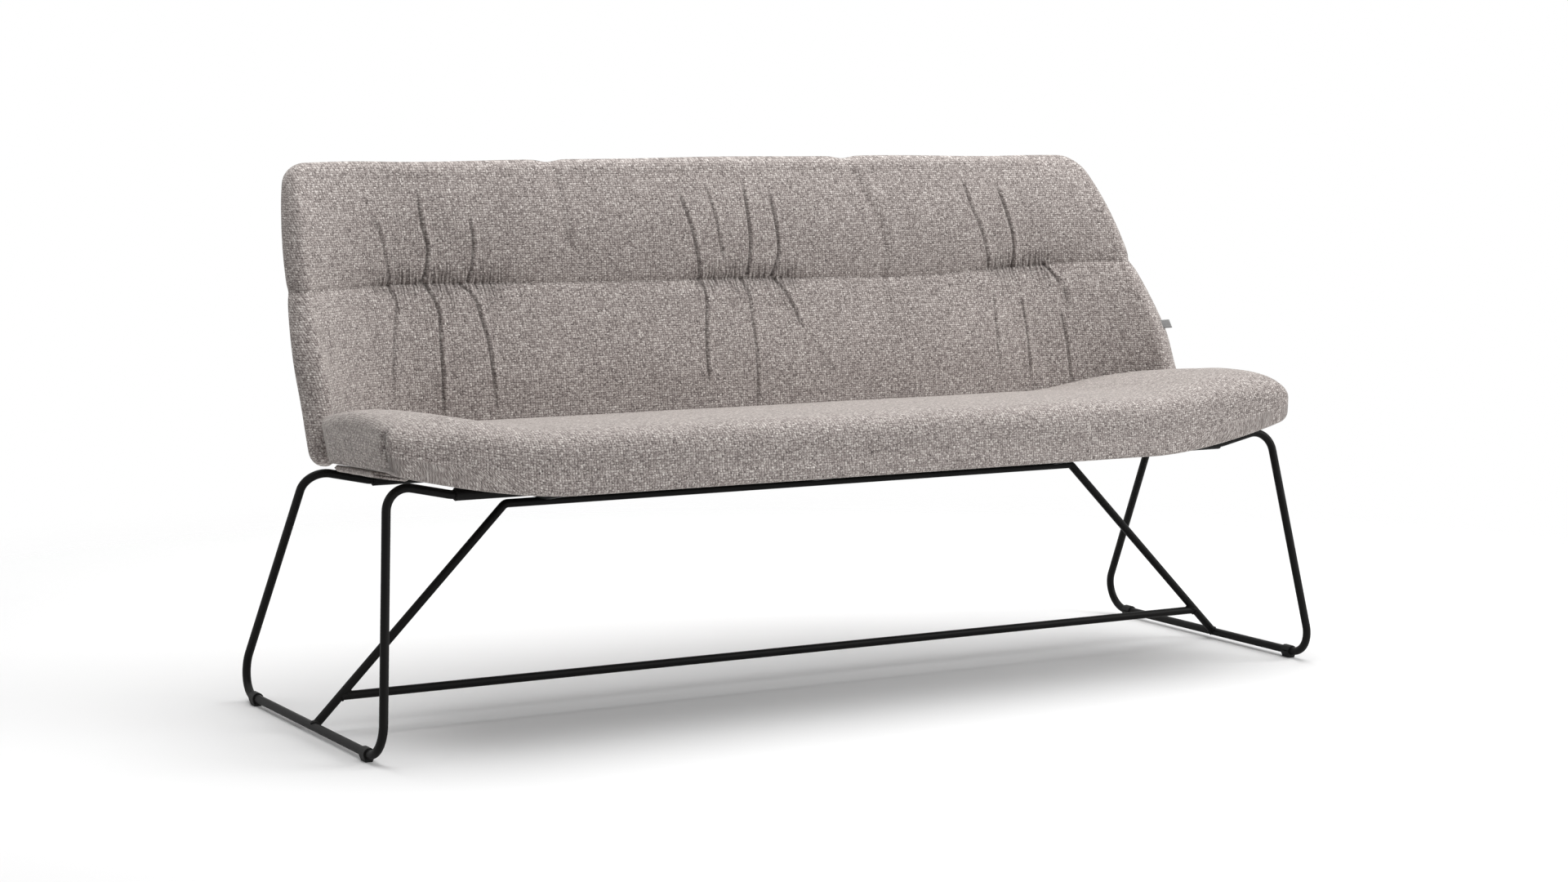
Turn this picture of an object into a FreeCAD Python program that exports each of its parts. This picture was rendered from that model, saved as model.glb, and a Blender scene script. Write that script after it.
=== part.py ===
import FreeCAD, Part
import math
import os
import Sketcher
from FreeCAD import Placement, Rotation, Vector

# Upholstered bench on a bent-rod frame. Millimetres and degrees.
# +X runs along the bench, -Y is the front, +Z is up, and the floor is z = 0.
# Reaches in front of and behind the truss are measured from the plane of the truss.

doc = FreeCAD.newDocument("upholstered_bench")
sheet = doc.addObject("Spreadsheet::Sheet", "sizes")

SIZES = (
    # Frame
    ("truss_y", -40.1, "place of the truss plane, which centres the bench front to back"),
    ("rod_diameter", 14, "bent rods of the legs, truss and stretcher"),
    ("floor_bar_spread", 1785, "between the middles of the two floor bars"),
    ("glide_sole", 5.6, "plastic under a floor bar"),
    ("glide_length", 20, "along the floor bar"),
    ("glide_wall", 2.6, "plastic round the rod"),
    ("glide_sole_width", 11, "flat sole across the floor bar"),
    ("glide_slit", 1.6, "slit that lets a glide open over the rod"),
    ("glide_clearance", 0.15, "between glide and rod, on the radius"),
    ("sled_lean", 6.2, "inward lean of a sled leg"),
    ("front_foot_reach", 284.6, "front corner of the sled, ahead of the truss"),
    ("rear_foot_reach", 351, "rear corner of the sled, behind the truss"),
    ("foot_bend_radius", 45, "middle of the rod, at the floor"),
    ("shoulder_bend_radius", 38, "middle of the rod, under the seat"),
    ("front_rail_reach", 202, "front seat rail, ahead of the truss"),
    ("rear_rail_reach", 128, "rear seat rail, behind the truss"),
    ("front_rail_height", 396, "middle of the front seat rail"),
    ("rear_rail_height", 382, "middle of the rear seat rail"),
    ("rail_diameter", 20, "seat rail tube"),
    ("rail_half_length", 735, "end of a rail, from the middle of the bench"),
    ("plug_bend_at", 742, "where a leg rod turns up out of its rail, from the middle of the bench"),
    ("plug_rise_angle", 12.1, "slope of a leg rod between its rail and its shoulder"),
    ("plug_bend_radius", 45, "middle of the rod, outside the rail"),
    ("plug_depth", 45, "leg rod inside the end of a rail"),
    ("plug_clearance", 0.15, "between leg rod and rail bore, on the radius"),
    ("weld_gap", 0.05, "root gap of a welded joint"),
    ("truss_height", 347, "middle of the truss rail"),
    ("truss_corner_at", 560, "corner of the truss, from the middle of the bench"),
    ("truss_bend_radius", 13, "middle of the rod"),
    ("stretcher_height", 57.3, "middle of the stretcher"),
    ("cross_plate_thickness", 8, "plate that joins rails and truss"),
    ("cross_plate_at", 500, "outer plates, from the middle of the bench"),
    ("cross_plate_foot", 70, "length of a plate's edge on the truss"),
    ("cross_plate_overhang", 12, "plate beyond the middle of a rail"),
    # Seat fixing
    ("tab_length", 34, "tab, away from its rail"),
    ("tab_width", 40, "tab, along its rail"),
    ("tab_thickness", 4, "tab plate"),
    ("tab_inner_at", 250, "inner tabs, from the middle of the bench"),
    ("tab_outer_at", 590, "outer tabs, from the middle of the bench"),
    ("tab_hole_diameter", 6.8, "screw hole in a tab"),
    ("screw_diameter", 6, "seat screw"),
    ("screw_reach", 14, "screw beyond the top of its tab"),
    ("screw_head_diameter", 11, "seat screw head"),
    ("screw_head_height", 3.5, "seat screw head"),
    ("screw_socket_diameter", 4.6, "socket in a screw head"),
    ("screw_socket_depth", 2, "socket in a screw head"),
    ("insert_diameter", 9, "threaded insert"),
    ("insert_length", 11, "threaded insert"),
    ("thread_clearance", 0.1, "round a screw in its insert or board, on the radius"),
    # Seat
    ("layer_gap", 0.3, "between two layers of the upholstery"),
    ("cover_thickness", 2, "woven cover"),
    ("dust_cover_thickness", 0.8, "cloth under the seat"),
    ("dust_cover_lap", 15, "dust cover over the turned-in fabric"),
    ("board_thickness", 12, "moulded seat board"),
    ("board_front_setback", 28, "board's front edge behind the front of the seat"),
    ("board_end_setback", 14, "board's ends inside the seat's ends"),
    ("seat_half_length", 860, "middle of the bench to the seat's end"),
    ("seat_front_reach", 262, "front of the seat, ahead of the truss, at the middle"),
    ("seat_corner_setback", 14, "how far the front draws back at the seat's corners"),
    ("seat_front_height", 78.5, "seat top over the rails, at the front"),
    ("seat_rear_height", 68, "seat top over the rails, at the rear"),
    ("seat_crown", 4, "swell of the seat top between front and rear"),
    ("seat_edge_radius", 44, "round of the seat's upper front edge"),
    ("seat_corner_depth", 105, "how much deeper that round is at the seat's ends"),
    ("seat_lip_drop", 16, "front lip below the top of the rail"),
    ("seat_lip_width", 26, "thickness of the front lip"),
    ("seat_rise_from", 560, "where the seat's ends start to rise"),
    ("seat_top_rise", 34, "rise of the seat top at its ends"),
    ("seat_board_rise", 31, "rise of the seat board at its ends"),
    ("seat_rise_pace", 1.14, "how soon the top has risen, against the board"),
    ("seat_lip_rise", 49, "rise of the front lip at the seat's ends"),
    ("seat_lip_pace", 1.6, "how late the lip rises towards the ends"),
    ("seat_lip_round", 10, "small rounds of the pad"),
    ("seat_end_round", 22, "round of the seat's end edges"),
    ("fabric_turn_in", 45, "fabric turned in under the board"),
    ("opening_half_length", 640, "opening in the fabric under the board"),
    ("wrap_thickness", 10.5, "rolled strip of fabric under a board end"),
    ("wrap_depth", 60, "how far the strip reaches under the board"),
    ("wrap_front_setback", 60, "front end of the strip behind the middle of the front rail"),
    # Back
    ("back_bottom", 416, "lower edge of the back"),
    ("back_seam_height", 688, "cross seam"),
    ("back_top", 893, "upper edge of the back"),
    ("back_foot_reach", 220.8, "back board behind the truss, at the lower edge"),
    ("back_recline", 15.5, "lean of the back"),
    ("back_half_length", 863, "middle of the bench to the back's edge, at the seat"),
    ("back_edge_lean", 65, "how far the edge draws in at the top"),
    ("back_edge_from", 430, "height where the edge starts to draw in"),
    ("wing_start", 585, "where the back starts to curve forward, from the middle"),
    ("wing_reach", 177, "how far the wings come forward at the lower edge"),
    ("wing_least_reach", 5, "forward curve that is left at the upper edge"),
    ("wing_fade", 1.3, "how late the wings fade towards the upper edge"),
    ("back_board_thickness", 10, "moulded back board"),
    ("back_padding_thickness", 5, "wadding behind the board"),
    ("back_foam_depth", 20, "foam in front of the board, at the edges"),
    ("back_swell", 10, "extra foam in the middle of a panel"),
    ("back_seam_depth", 6, "how far the cross seam draws the foam in"),
    ("section_half_width", 305, "channel between two sections, from the middle"),
    ("section_swell", 4, "swell of a section between its channels"),
    ("edge_round_share", 0.35, "bulge of the back's rounded side edge, as a share of its thickness"),
    ("back_edge_share", 0.3, "thickness left at the upper and lower edge, as a share"),
    ("back_board_inset", 16, "board inside the edge of the back"),
    ("back_corner_radius", 34, "corners of the back"),
    ("seam_gap", 1.2, "between the two foams at the cross seam"),
    ("seat_back_gap", 2.5, "between the seat pad and the back"),
    ("wing_tip_gap", 8, "between the seat's end and the tip of a wing"),
    ("seat_rear_corner", 26, "round of the seat's rear corners in plan"),
    ("wing_corner_run", 40, "length over which the pad draws in before a wing's tip"),
    # Back brackets
    ("bracket_thickness", 5, "steel angle"),
    ("bracket_width", 40, "steel angle"),
    ("bracket_seat_leg", 110, "leg on the seat board"),
    ("bracket_back_leg", 120, "leg on the back board"),
    ("bracket_inner_at", 180, "inner brackets, from the middle of the bench"),
    ("bracket_outer_at", 500, "outer brackets, from the middle of the bench"),
    ("bracket_room", 1, "room round a bracket in foam and cover"),
    ("bracket_screw_diameter", 4.4, "screws of the brackets"),
    ("bracket_screw_length", 8, "screw in its board"),
    ("bracket_screw_head", 9, "head diameter"),
    ("bracket_screw_head_height", 2.6, "head height"),
    ("bracket_screw_first", 25, "outer screw from the leg's end"),
    ("bracket_screw_pitch", 36, "between a leg's two screws"),
    ("bracket_hole_diameter", 5.2, "screw hole in a bracket"),
    # Tag
    ("tag_length", 18, "tag beyond the edge of the back"),
    ("tag_height", 16, "tag"),
    ("tag_thickness", 1, "tag"),
    ("tag_at", 583, "height of the tag's middle"),
)

for row, (alias, value, note) in enumerate(SIZES, start=1):
    sheet.set(f"A{row}", note)
    sheet.set(f"B{row}", str(value))
    sheet.setAlias(f"B{row}", alias)
doc.recompute()

nodes = []


def size(alias):
    return float(sheet.get(alias))


def keep(item, label):
    """Names a finished sub-part and puts it on the list that is written out."""
    item.Label = label
    nodes.append(item)
    return item


def at(x, reach, z):
    """A point given by its reach behind the truss plane."""
    return Vector(x, reach + size("truss_y"), z)


def solid_node(label, shape):
    """A sub-part whose shape is worked out from the sheet."""
    item = doc.addObject("Part::Feature", label)
    item.Shape = shape
    item.Placement = Placement()
    return keep(item, label)


# Sketches whose corners are tied to the sheet


def new_body(label):
    return keep(doc.addObject("PartDesign::Body", label), label)


def new_sketch(body, name, role):
    plane = next(item for item in body.Origin.OriginFeatures if item.Role == role)
    sketch = body.newObject("Sketcher::SketchObject", name)
    sketch.AttachmentSupport = [(plane, "")]
    sketch.MapMode = "FlatFace"
    return sketch


def pin(sketch, geometry, vertex, across, up):
    """Ties one point of a sketch to two expressions."""
    for kind, text in (("DistanceX", across), ("DistanceY", up)):
        value = float(sketch.evalExpression(text))
        index = sketch.addConstraint(Sketcher.Constraint(kind, -1, 1, geometry, vertex, value))
        sketch.setExpression(f"Constraints[{index}]", text)


def outline(sketch, corners):
    """A closed polygon whose corners are pairs of expressions."""
    spots = [Vector(float(sketch.evalExpression(a)), float(sketch.evalExpression(b)), 0) for a, b in corners]
    sides = []
    for start, end in zip(spots, spots[1:] + spots[:1]):
        sides.append(sketch.addGeometry(Part.LineSegment(start, end), False))
    for side, following in zip(sides, sides[1:] + sides[:1]):
        sketch.addConstraint(Sketcher.Constraint("Coincident", side, 2, following, 1))
    for side, (across, up) in zip(sides, corners):
        pin(sketch, side, 1, across, up)


def ring(sketch, across, up, radius):
    """A circle with its middle and radius tied to expressions."""
    middle = Vector(float(sketch.evalExpression(across)), float(sketch.evalExpression(up)), 0)
    reach = float(sketch.evalExpression(radius))
    circle = sketch.addGeometry(Part.Circle(middle, Vector(0, 0, 1), reach), False)
    pin(sketch, circle, 3, across, up)
    index = sketch.addConstraint(Sketcher.Constraint("Radius", circle, reach))
    sketch.setExpression(f"Constraints[{index}]", radius)


def pad(body, sketch, length):
    """Pads a sketch by the same amount both ways."""
    feature = body.newObject("PartDesign::Pad", "Pad")
    feature.Profile = sketch
    feature.SideType = "Symmetric"
    feature.setExpression("Length", length)
    doc.recompute()
    return feature


def drill(body, sketch):
    """Cuts a sketch right through the body, both ways, and checks that it cut something."""
    before = body.Shape.Volume
    feature = body.newObject("PartDesign::Pocket", "Pocket")
    feature.Profile = sketch
    feature.Type = "ThroughAll"
    feature.SideType = "Symmetric"
    doc.recompute()
    if not body.Shape.Volume < before:
        raise RuntimeError(f"a pocket in {body.Label} cut nothing")


# Bent rods


def rounded_path(points, radii):
    """Straight runs joined by tangent arcs."""
    edges = []
    start = points[0]
    for before, corner, after, radius in zip(points, points[1:], points[2:], radii):
        back = (before - corner).normalize()
        ahead = (after - corner).normalize()
        half = back.getAngle(ahead) / 2
        setback = radius / math.tan(half)
        middle = corner + (back + ahead).normalize() * (radius / math.sin(half) - radius)
        begin = corner + back * setback
        end = corner + ahead * setback
        edges.append(Part.LineSegment(start, begin).toShape())
        edges.append(Part.Arc(begin, middle, end).toShape())
        start = end
    edges.append(Part.LineSegment(start, points[-1]).toShape())
    return Part.Wire(edges)


def bent_rod(name, points, radii, radius):
    """A round bar swept along a bent path; its radius is tied to the sheet."""
    path = doc.addObject("Part::Feature", f"{name}_path")
    path.Shape = rounded_path(points, radii)
    section = doc.addObject("Part::Circle", f"{name}_section")
    section.setExpression("Radius", radius)
    section.Placement = Placement(points[0], Rotation(Vector(0, 0, 1), points[1] - points[0]))
    rod = doc.addObject("Part::Sweep", name)
    rod.Sections = [section]
    rod.Spine = (path, [f"Edge{number}" for number in range(1, len(path.Shape.Edges) + 1)])
    rod.Solid = True
    doc.recompute()
    return rod


ROD_RADIUS = "sizes.rod_diameter / 2"
floor_bar_x = size("floor_bar_spread") / 2
floor_bar_z = size("glide_sole") + size("rod_diameter") / 2
lean = math.tan(math.radians(size("sled_lean")))
plug_slope = math.tan(math.radians(size("plug_rise_angle")))


def shoulder(height):
    """Corner between a leaning leg and the sloping run out of a rail: (x, z) of the rod's middle."""
    z = height + (floor_bar_x + floor_bar_z * lean - size("plug_bend_at")) * plug_slope
    z /= 1 + lean * plug_slope
    return floor_bar_x - (z - floor_bar_z) * lean, z


def sled_leg(label, side):
    """One bent rod from the front rail round to the rear rail: plug, leg, floor bar, leg, plug."""
    plug_x = size("rail_half_length") - size("plug_depth")
    points = []
    for reach, height, foot in (
        (-size("front_rail_reach"), size("front_rail_height"), -size("front_foot_reach")),
        (size("rear_rail_reach"), size("rear_rail_height"), size("rear_foot_reach")),
    ):
        x, z = shoulder(height)
        run = [at(side * plug_x, reach, height), at(side * size("plug_bend_at"), reach, height)]
        run += [at(side * x, reach, z), at(side * floor_bar_x, foot, floor_bar_z)]
        points += run if not points else run[::-1]
    bends = [size(f"{name}_bend_radius") for name in ("plug", "shoulder", "foot")]
    keep(bent_rod(label, points, bends + bends[::-1], ROD_RADIUS), label)


def seat_rail(label, reach, height):
    """A straight tube; the leg rods are plugged into its ends."""
    end = size("rail_half_length")
    points = [at(-end, reach, height), at(end, reach, height)]
    tube = bent_rod(f"{label}_outside", points, [], "sizes.rail_diameter / 2")
    bore = bent_rod(f"{label}_bore", points, [], f"{ROD_RADIUS} + sizes.plug_clearance")
    rail = doc.addObject("Part::Cut", label)
    rail.Base = tube
    rail.Tool = bore
    keep(rail, label)


def brace_x(z):
    """Middle of a diagonal of the truss at a height."""
    share = (z - floor_bar_z) / (size("truss_height") - floor_bar_z)
    return floor_bar_x + share * (size("truss_corner_at") - floor_bar_x)


# Length of the cylinder that copes a rod's end, in rod diameters
COPE_LENGTH = 3


def truss_bar():
    """One bent rod whose ends are coped over the floor bars."""
    corner = size("truss_corner_at")
    top = size("truss_height")
    points = [at(x, 0, z) for x, z in (
        (-floor_bar_x, floor_bar_z), (-corner, top), (corner, top), (floor_bar_x, floor_bar_z))]
    rod = bent_rod("truss_rod", points, [size("truss_bend_radius")] * 2, ROD_RADIUS)
    bars = []
    for side in (-1, 1):
        bar = doc.addObject("Part::Cylinder", "floor_bar_cope")
        bar.setExpression("Radius", f"{ROD_RADIUS} + sizes.weld_gap")
        bar.setExpression("Height", f"sizes.rod_diameter * {COPE_LENGTH}")
        start = at(side * floor_bar_x, -COPE_LENGTH / 2 * size("rod_diameter"), floor_bar_z)
        bar.Placement = Placement(start, Rotation(Vector(0, 0, 1), Vector(0, 1, 0)))
        bars.append(bar)
    copes = doc.addObject("Part::MultiFuse", "floor_bar_copes")
    copes.Shapes = bars
    bar = doc.addObject("Part::Cut", "truss_bar")
    bar.Base = rod
    bar.Tool = copes
    keep(bar, "truss_bar")


def stretcher_bar():
    """A straight rod, coped at both ends against the diagonals."""
    height = size("stretcher_height")
    half = brace_x(height)
    rod = doc.addObject("Part::Cylinder", "stretcher_rod")
    rod.setExpression("Radius", ROD_RADIUS)
    rod.Height = 2 * half
    rod.Placement = Placement(at(-half, 0, height), Rotation(Vector(0, 0, 1), Vector(1, 0, 0)))
    braces = []
    for side in (-1, 1):
        foot = at(side * floor_bar_x, 0, floor_bar_z)
        corner = at(side * size("truss_corner_at"), 0, size("truss_height"))
        brace = doc.addObject("Part::Cylinder", "brace_cope")
        brace.setExpression("Radius", f"{ROD_RADIUS} + sizes.weld_gap")
        brace.Height = foot.distanceToPoint(corner)
        brace.Placement = Placement(foot, Rotation(Vector(0, 0, 1), corner - foot))
        braces.append(brace)
    copes = doc.addObject("Part::MultiFuse", "brace_copes")
    copes.Shapes = braces
    bar = doc.addObject("Part::Cut", "stretcher_bar")
    bar.Base = rod
    bar.Tool = copes
    keep(bar, "stretcher_bar")


TILT = (
    "atan((sizes.front_rail_height - sizes.rear_rail_height)"
    " / (sizes.front_rail_reach + sizes.rear_rail_reach))"
)


def cross_plate(label, x):
    """A plate on edge, from the undersides of both rails down to the truss rail."""
    body = new_body(label)
    body.Placement = Placement(at(x, 0, 0), Rotation())
    sketch = new_sketch(body, "Profile", "YZ_Plane")
    below = "(sizes.rail_diameter / 2 + sizes.weld_gap)"
    out = "sizes.cross_plate_overhang"
    foot = "sizes.truss_height + sizes.rod_diameter / 2 + sizes.weld_gap"
    outline(sketch, (
        (f"-sizes.front_rail_reach - {below} * sin({TILT}) - {out} * cos({TILT})",
         f"sizes.front_rail_height - {below} * cos({TILT}) + {out} * sin({TILT})"),
        ("-sizes.cross_plate_foot / 2", foot),
        ("sizes.cross_plate_foot / 2", foot),
        (f"sizes.rear_rail_reach - {below} * sin({TILT}) + {out} * cos({TILT})",
         f"sizes.rear_rail_height - {below} * cos({TILT}) - {out} * sin({TILT})"),
    ))
    pad(body, sketch, "sizes.cross_plate_thickness")


def foot_setback(foot, reach, height):
    """Length that the bend at the floor takes off the floor bar."""
    corner = Vector(floor_bar_x, foot, floor_bar_z)
    x, z = shoulder(height)
    leg = Vector(x, reach, z) - corner
    angle = leg.getAngle(Vector(0, -foot, 0))
    return size("foot_bend_radius") / math.tan(angle / 2)


# Corners of a glide's outline, round from its sole
GLIDE_TURNS = ("-25 deg", "0 deg", "25 deg", "50 deg", "75 deg")


def floor_glide(label, side, reach):
    """A split ring with a flat sole, snapped over the floor bar; the slit faces the other sled."""
    body = new_body(label)
    body.Placement = Placement(at(side * floor_bar_x, reach, 0), Rotation())
    sketch = new_sketch(body, "Profile", "XZ_Plane")
    bore = f"({ROD_RADIUS} + sizes.glide_clearance)"
    wide = f"({bore} + sizes.glide_wall)"
    middle = f"(sizes.glide_sole + {ROD_RADIUS})"
    right = [("sizes.glide_sole_width / 2", "0")]
    right += [(f"{wide} * cos({turn})", f"{middle} + {wide} * sin({turn})") for turn in GLIDE_TURNS]
    left = [(f"-({across})", up) for across, up in right[::-1]]
    outline(sketch, right + left)
    pad(body, sketch, "sizes.glide_length")
    seat = new_sketch(body, "Saddle", "XZ_Plane")
    ring(seat, "0", middle, bore)
    drill(body, seat)
    slit = new_sketch(body, "Slit", "XZ_Plane")
    low = f"{middle} - sizes.glide_slit / 2"
    high = f"{middle} + sizes.glide_slit / 2"
    sign = "-" if side > 0 else ""
    near = "sizes.rod_diameter / 4"
    far = f"2 * {wide}"
    corners = ((near, low), (far, low), (far, high), (near, high))
    outline(slit, [(f"{sign}{across}", up) for across, up in corners])
    drill(body, slit)


# The seat stands on the tops of the two rails: v runs back from the front rail, w runs up square to the seat


tilt = math.atan2(
    size("front_rail_height") - size("rear_rail_height"), size("front_rail_reach") + size("rear_rail_reach"))
rail_radius = size("rail_diameter") / 2
rail_pitch = math.hypot(
    size("front_rail_height") - size("rear_rail_height"), size("front_rail_reach") + size("rear_rail_reach"))


def seat_at(x, v, w):
    y = -size("front_rail_reach") + v * math.cos(tilt) + (w + rail_radius) * math.sin(tilt)
    z = size("front_rail_height") - v * math.sin(tilt) + (w + rail_radius) * math.cos(tilt)
    return at(x, y, z)


def seat_place(x, v, w):
    return Placement(seat_at(x, v, w), Rotation(Vector(1, 0, 0), -math.degrees(tilt)))


def seat_v(reach, w):
    """v of a point at a reach behind the truss and a height over the rails."""
    return (reach + size("front_rail_reach") - (w + rail_radius) * math.sin(tilt)) / math.cos(tilt)


def smooth_step(t):
    t = min(max(t, 0), 1)
    return t * t * (3 - 2 * t)


def seat_end_share(x):
    """0 in the flat middle of the seat, 1 at its ends."""
    start = size("seat_rise_from")
    return max(abs(x) - start, 0) / (size("seat_half_length") - start)


def board_rise(x):
    return size("seat_board_rise") * seat_end_share(x) ** 2


layer = size("layer_gap")
cover = size("cover_thickness")
board_bottom = size("dust_cover_thickness") + cover + 3 * layer
board_top = board_bottom + size("board_thickness")


# The back is a panel that curves forward at both ends, more at the seat than at the top


def back_line(z):
    """The board's middle at a height: reach behind the truss, half length and forward curve of a wing."""
    reach = size("back_foot_reach") + (z - size("back_bottom")) * math.tan(math.radians(size("back_recline")))
    share = max(z - size("back_edge_from"), 0) / (size("back_top") - size("back_edge_from"))
    edge = size("back_half_length") - size("back_edge_lean") * share ** 2
    climb = min(max((z - size("back_bottom")) / (size("back_top") - size("back_bottom")), 0), 1)
    least = size("wing_least_reach")
    return reach, edge, least + (size("wing_reach") - least) * (1 - climb ** size("wing_fade"))


def wing_arc(z):
    """Radius and angle of a wing's arc at a height."""
    reach, edge, forward = back_line(z)
    run = edge - size("wing_start")
    angle = 2 * math.atan2(forward, run)
    return run / math.sin(angle), angle


def wing_spot(side, z, turn, offset):
    """A point in front of the board's middle by an offset, after a turn of the wing."""
    reach, edge, forward = back_line(z)
    radius = wing_arc(z)[0]
    ring_radius = radius - offset
    x = side * (size("wing_start") + ring_radius * math.sin(turn))
    return at(x, reach - radius + ring_radius * math.cos(turn), z)


def foam_front(z):
    """Front of the foam before the middle of the board, at a height."""
    seam = size("back_seam_height")
    low, high = (size("back_bottom"), seam) if z < seam else (seam, size("back_top"))
    swell = size("back_swell") * math.sin(math.pi * (z - low) / (high - low))
    pull = max(1 - abs(z - seam) / size("back_corner_radius"), 0) ** 2
    edge = size("back_board_thickness") / 2 + size("back_foam_depth")
    return edge + swell - size("back_seam_depth") * pull


def back_face_reach(x, z):
    """Reach of the back's covered front face at a place along the bench and a height."""
    reach = back_line(z)[0]
    front = foam_front(z) + size("section_swell") + layer + cover
    along = abs(x) - size("wing_start")
    if along <= 0:
        return reach - front
    radius = wing_arc(z)[0]
    return reach - radius + math.sqrt(max((radius - front) ** 2 - along ** 2, 0))


def edge_turn(z, thickness, inset):
    """Turns of the wing at the tip of its rounded edge and at the start of that round."""
    radius, angle = wing_arc(z)
    tip = angle - inset / radius
    return tip, tip - size("edge_round_share") * thickness / radius


def panel_wire(z, front, rear, inset):
    """Level outline of the back between two offsets from the board's middle, inset from its edges."""
    reach = back_line(z)[0]
    start = size("wing_start")
    channel = size("section_half_width")
    tip, turn = edge_turn(z, front + rear, inset)
    middle = (front - rear) / 2

    def arc(side, *stops):
        return Part.Arc(*[wing_spot(side, z, *stop) for stop in stops])

    run = [Part.LineSegment(wing_spot(-1, z, 0, -rear), wing_spot(1, z, 0, -rear))]
    run.append(arc(1, (0, -rear), (turn / 2, -rear), (turn, -rear)))
    run.append(arc(1, (turn, -rear), (tip, middle), (turn, front)))
    run.append(arc(1, (turn, front), (turn / 2, front), (0, front)))
    stops = [start, channel, -channel, -start]
    for right, left in zip(stops, stops[1:]):
        crest = at((right + left) / 2, reach - front - size("section_swell"), z)
        run.append(Part.Arc(at(right, reach - front, z), crest, at(left, reach - front, z)))
    run.append(arc(-1, (0, front), (turn / 2, front), (turn, front)))
    run.append(arc(-1, (turn, front), (tip, middle), (turn, -rear)))
    run.append(arc(-1, (turn, -rear), (turn / 2, -rear), (0, -rear)))
    return Part.Wire([piece.toShape() for piece in run])


def drawn_in(radius, share):
    """How far a quarter round has drawn in, at a share of its radius from the edge."""
    return radius * (1 - math.sqrt(1 - (1 - share) ** 2))


# Places of the back's outlines: in its rounded edges, up each panel, and round the cross seam in corner radii
EDGE_SHARES = (0, 0.12, 0.4, 1)
LOWER_SHARES = (0.3, 0.55, 0.8)
UPPER_SHARES = (0.25, 0.5, 0.75)
SEAM_SHARES = (-0.9, -0.35, 0, 0.35, 0.9)


def back_levels(grow):
    """Heights of the outlines, and how far each stays inside the panel at the rounded edges."""
    low = size("back_bottom") + cover + layer - grow
    high = size("back_top") - cover - layer + grow
    seam = size("back_seam_height")
    corner = size("back_corner_radius")
    levels = [(low + share * corner, drawn_in(corner, share)) for share in EDGE_SHARES]
    for share in LOWER_SHARES:
        levels.append((low + corner + share * (seam - low - 2 * corner), 0))
    for share in SEAM_SHARES:
        levels.append((seam + share * corner, 0))
    for share in UPPER_SHARES:
        levels.append((seam + corner + share * (high - seam - 2 * corner), 0))
    levels += [(high - share * corner, drawn_in(corner, share)) for share in reversed(EDGE_SHARES)]
    return levels


def back_form(grow):
    """The whole back, grown by a layer over its foam."""
    rear = size("back_board_thickness") / 2 + layer + size("back_padding_thickness")
    wires = []
    for z, inset in back_levels(grow):
        thin = 1 - (1 - size("back_edge_share")) * (inset / size("back_corner_radius")) ** 2
        front = foam_front(z)
        middle = (front - rear) / 2
        half = (front + rear) / 2 * thin
        wires.append(panel_wire(z, middle + half + grow, half - middle + grow, inset + cover + layer - grow))
    return Part.makeLoft(wires, True, False)


SLAB_STEPS = 8


def back_slab(front, rear, inset):
    """A layer of even thickness between two offsets, taller than the back; a negative inset sticks out."""
    low = size("back_bottom") - size("back_board_inset")
    high = size("back_top") + size("back_board_inset")
    wires = []
    for step in range(SLAB_STEPS + 1):
        z = low + (high - low) * step / SLAB_STEPS
        turn = edge_turn(z, 0, inset)[0]
        corners = [(1, 0, -rear), (1, turn, -rear), (1, turn, front), (1, 0, front)]
        corners += [(-side, stop, offset) for side, stop, offset in reversed(corners)]
        run = []
        for (side, stop, offset), (other, ending, end_offset) in zip(corners, corners[1:] + corners[:1]):
            begin = wing_spot(side, z, stop, offset)
            end = wing_spot(other, z, ending, end_offset)
            if side == other and stop != ending:
                run.append(Part.Arc(begin, wing_spot(side, z, turn / 2, offset), end))
            else:
                run.append(Part.LineSegment(begin, end))
        wires.append(Part.Wire([piece.toShape() for piece in run]))
    return Part.makeLoft(wires, True, False)


# The seat pad


def seat_rear(x, w):
    """v of the pad's rear at a place along the bench and a height over the rails."""
    z = seat_at(0, seat_v(size("rear_rail_reach"), w), w).z
    thickness = foam_front(z) + size("back_board_thickness")
    tip, turn = edge_turn(z, thickness, 0)
    corner = wing_spot(1, z, turn, foam_front(z) + size("section_swell") + layer + cover)
    tip_reach = min(corner.y, wing_spot(1, z, tip, thickness / 2).y) - size("truss_y") - size("wing_tip_gap")
    reach = back_face_reach(min(abs(x), corner.x), z) - size("seat_back_gap") - layer - cover
    blend = smooth_step((abs(x) - corner.x) / size("wing_corner_run") + 1)
    corner_radius = size("seat_rear_corner")
    past = min(max(abs(x) - size("seat_half_length") + corner_radius, 0), corner_radius)
    drawn = corner_radius - math.sqrt(corner_radius ** 2 - past ** 2)
    return seat_v(reach + (tip_reach - reach) * blend - drawn, w)


def soft_corner(start, corner, end):
    """A quarter of an ellipse inside a square corner."""
    curve = Part.BezierCurve()
    curve.setPoles([start, corner, end])
    curve.setWeight(2, math.sqrt(0.5))
    return curve


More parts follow.
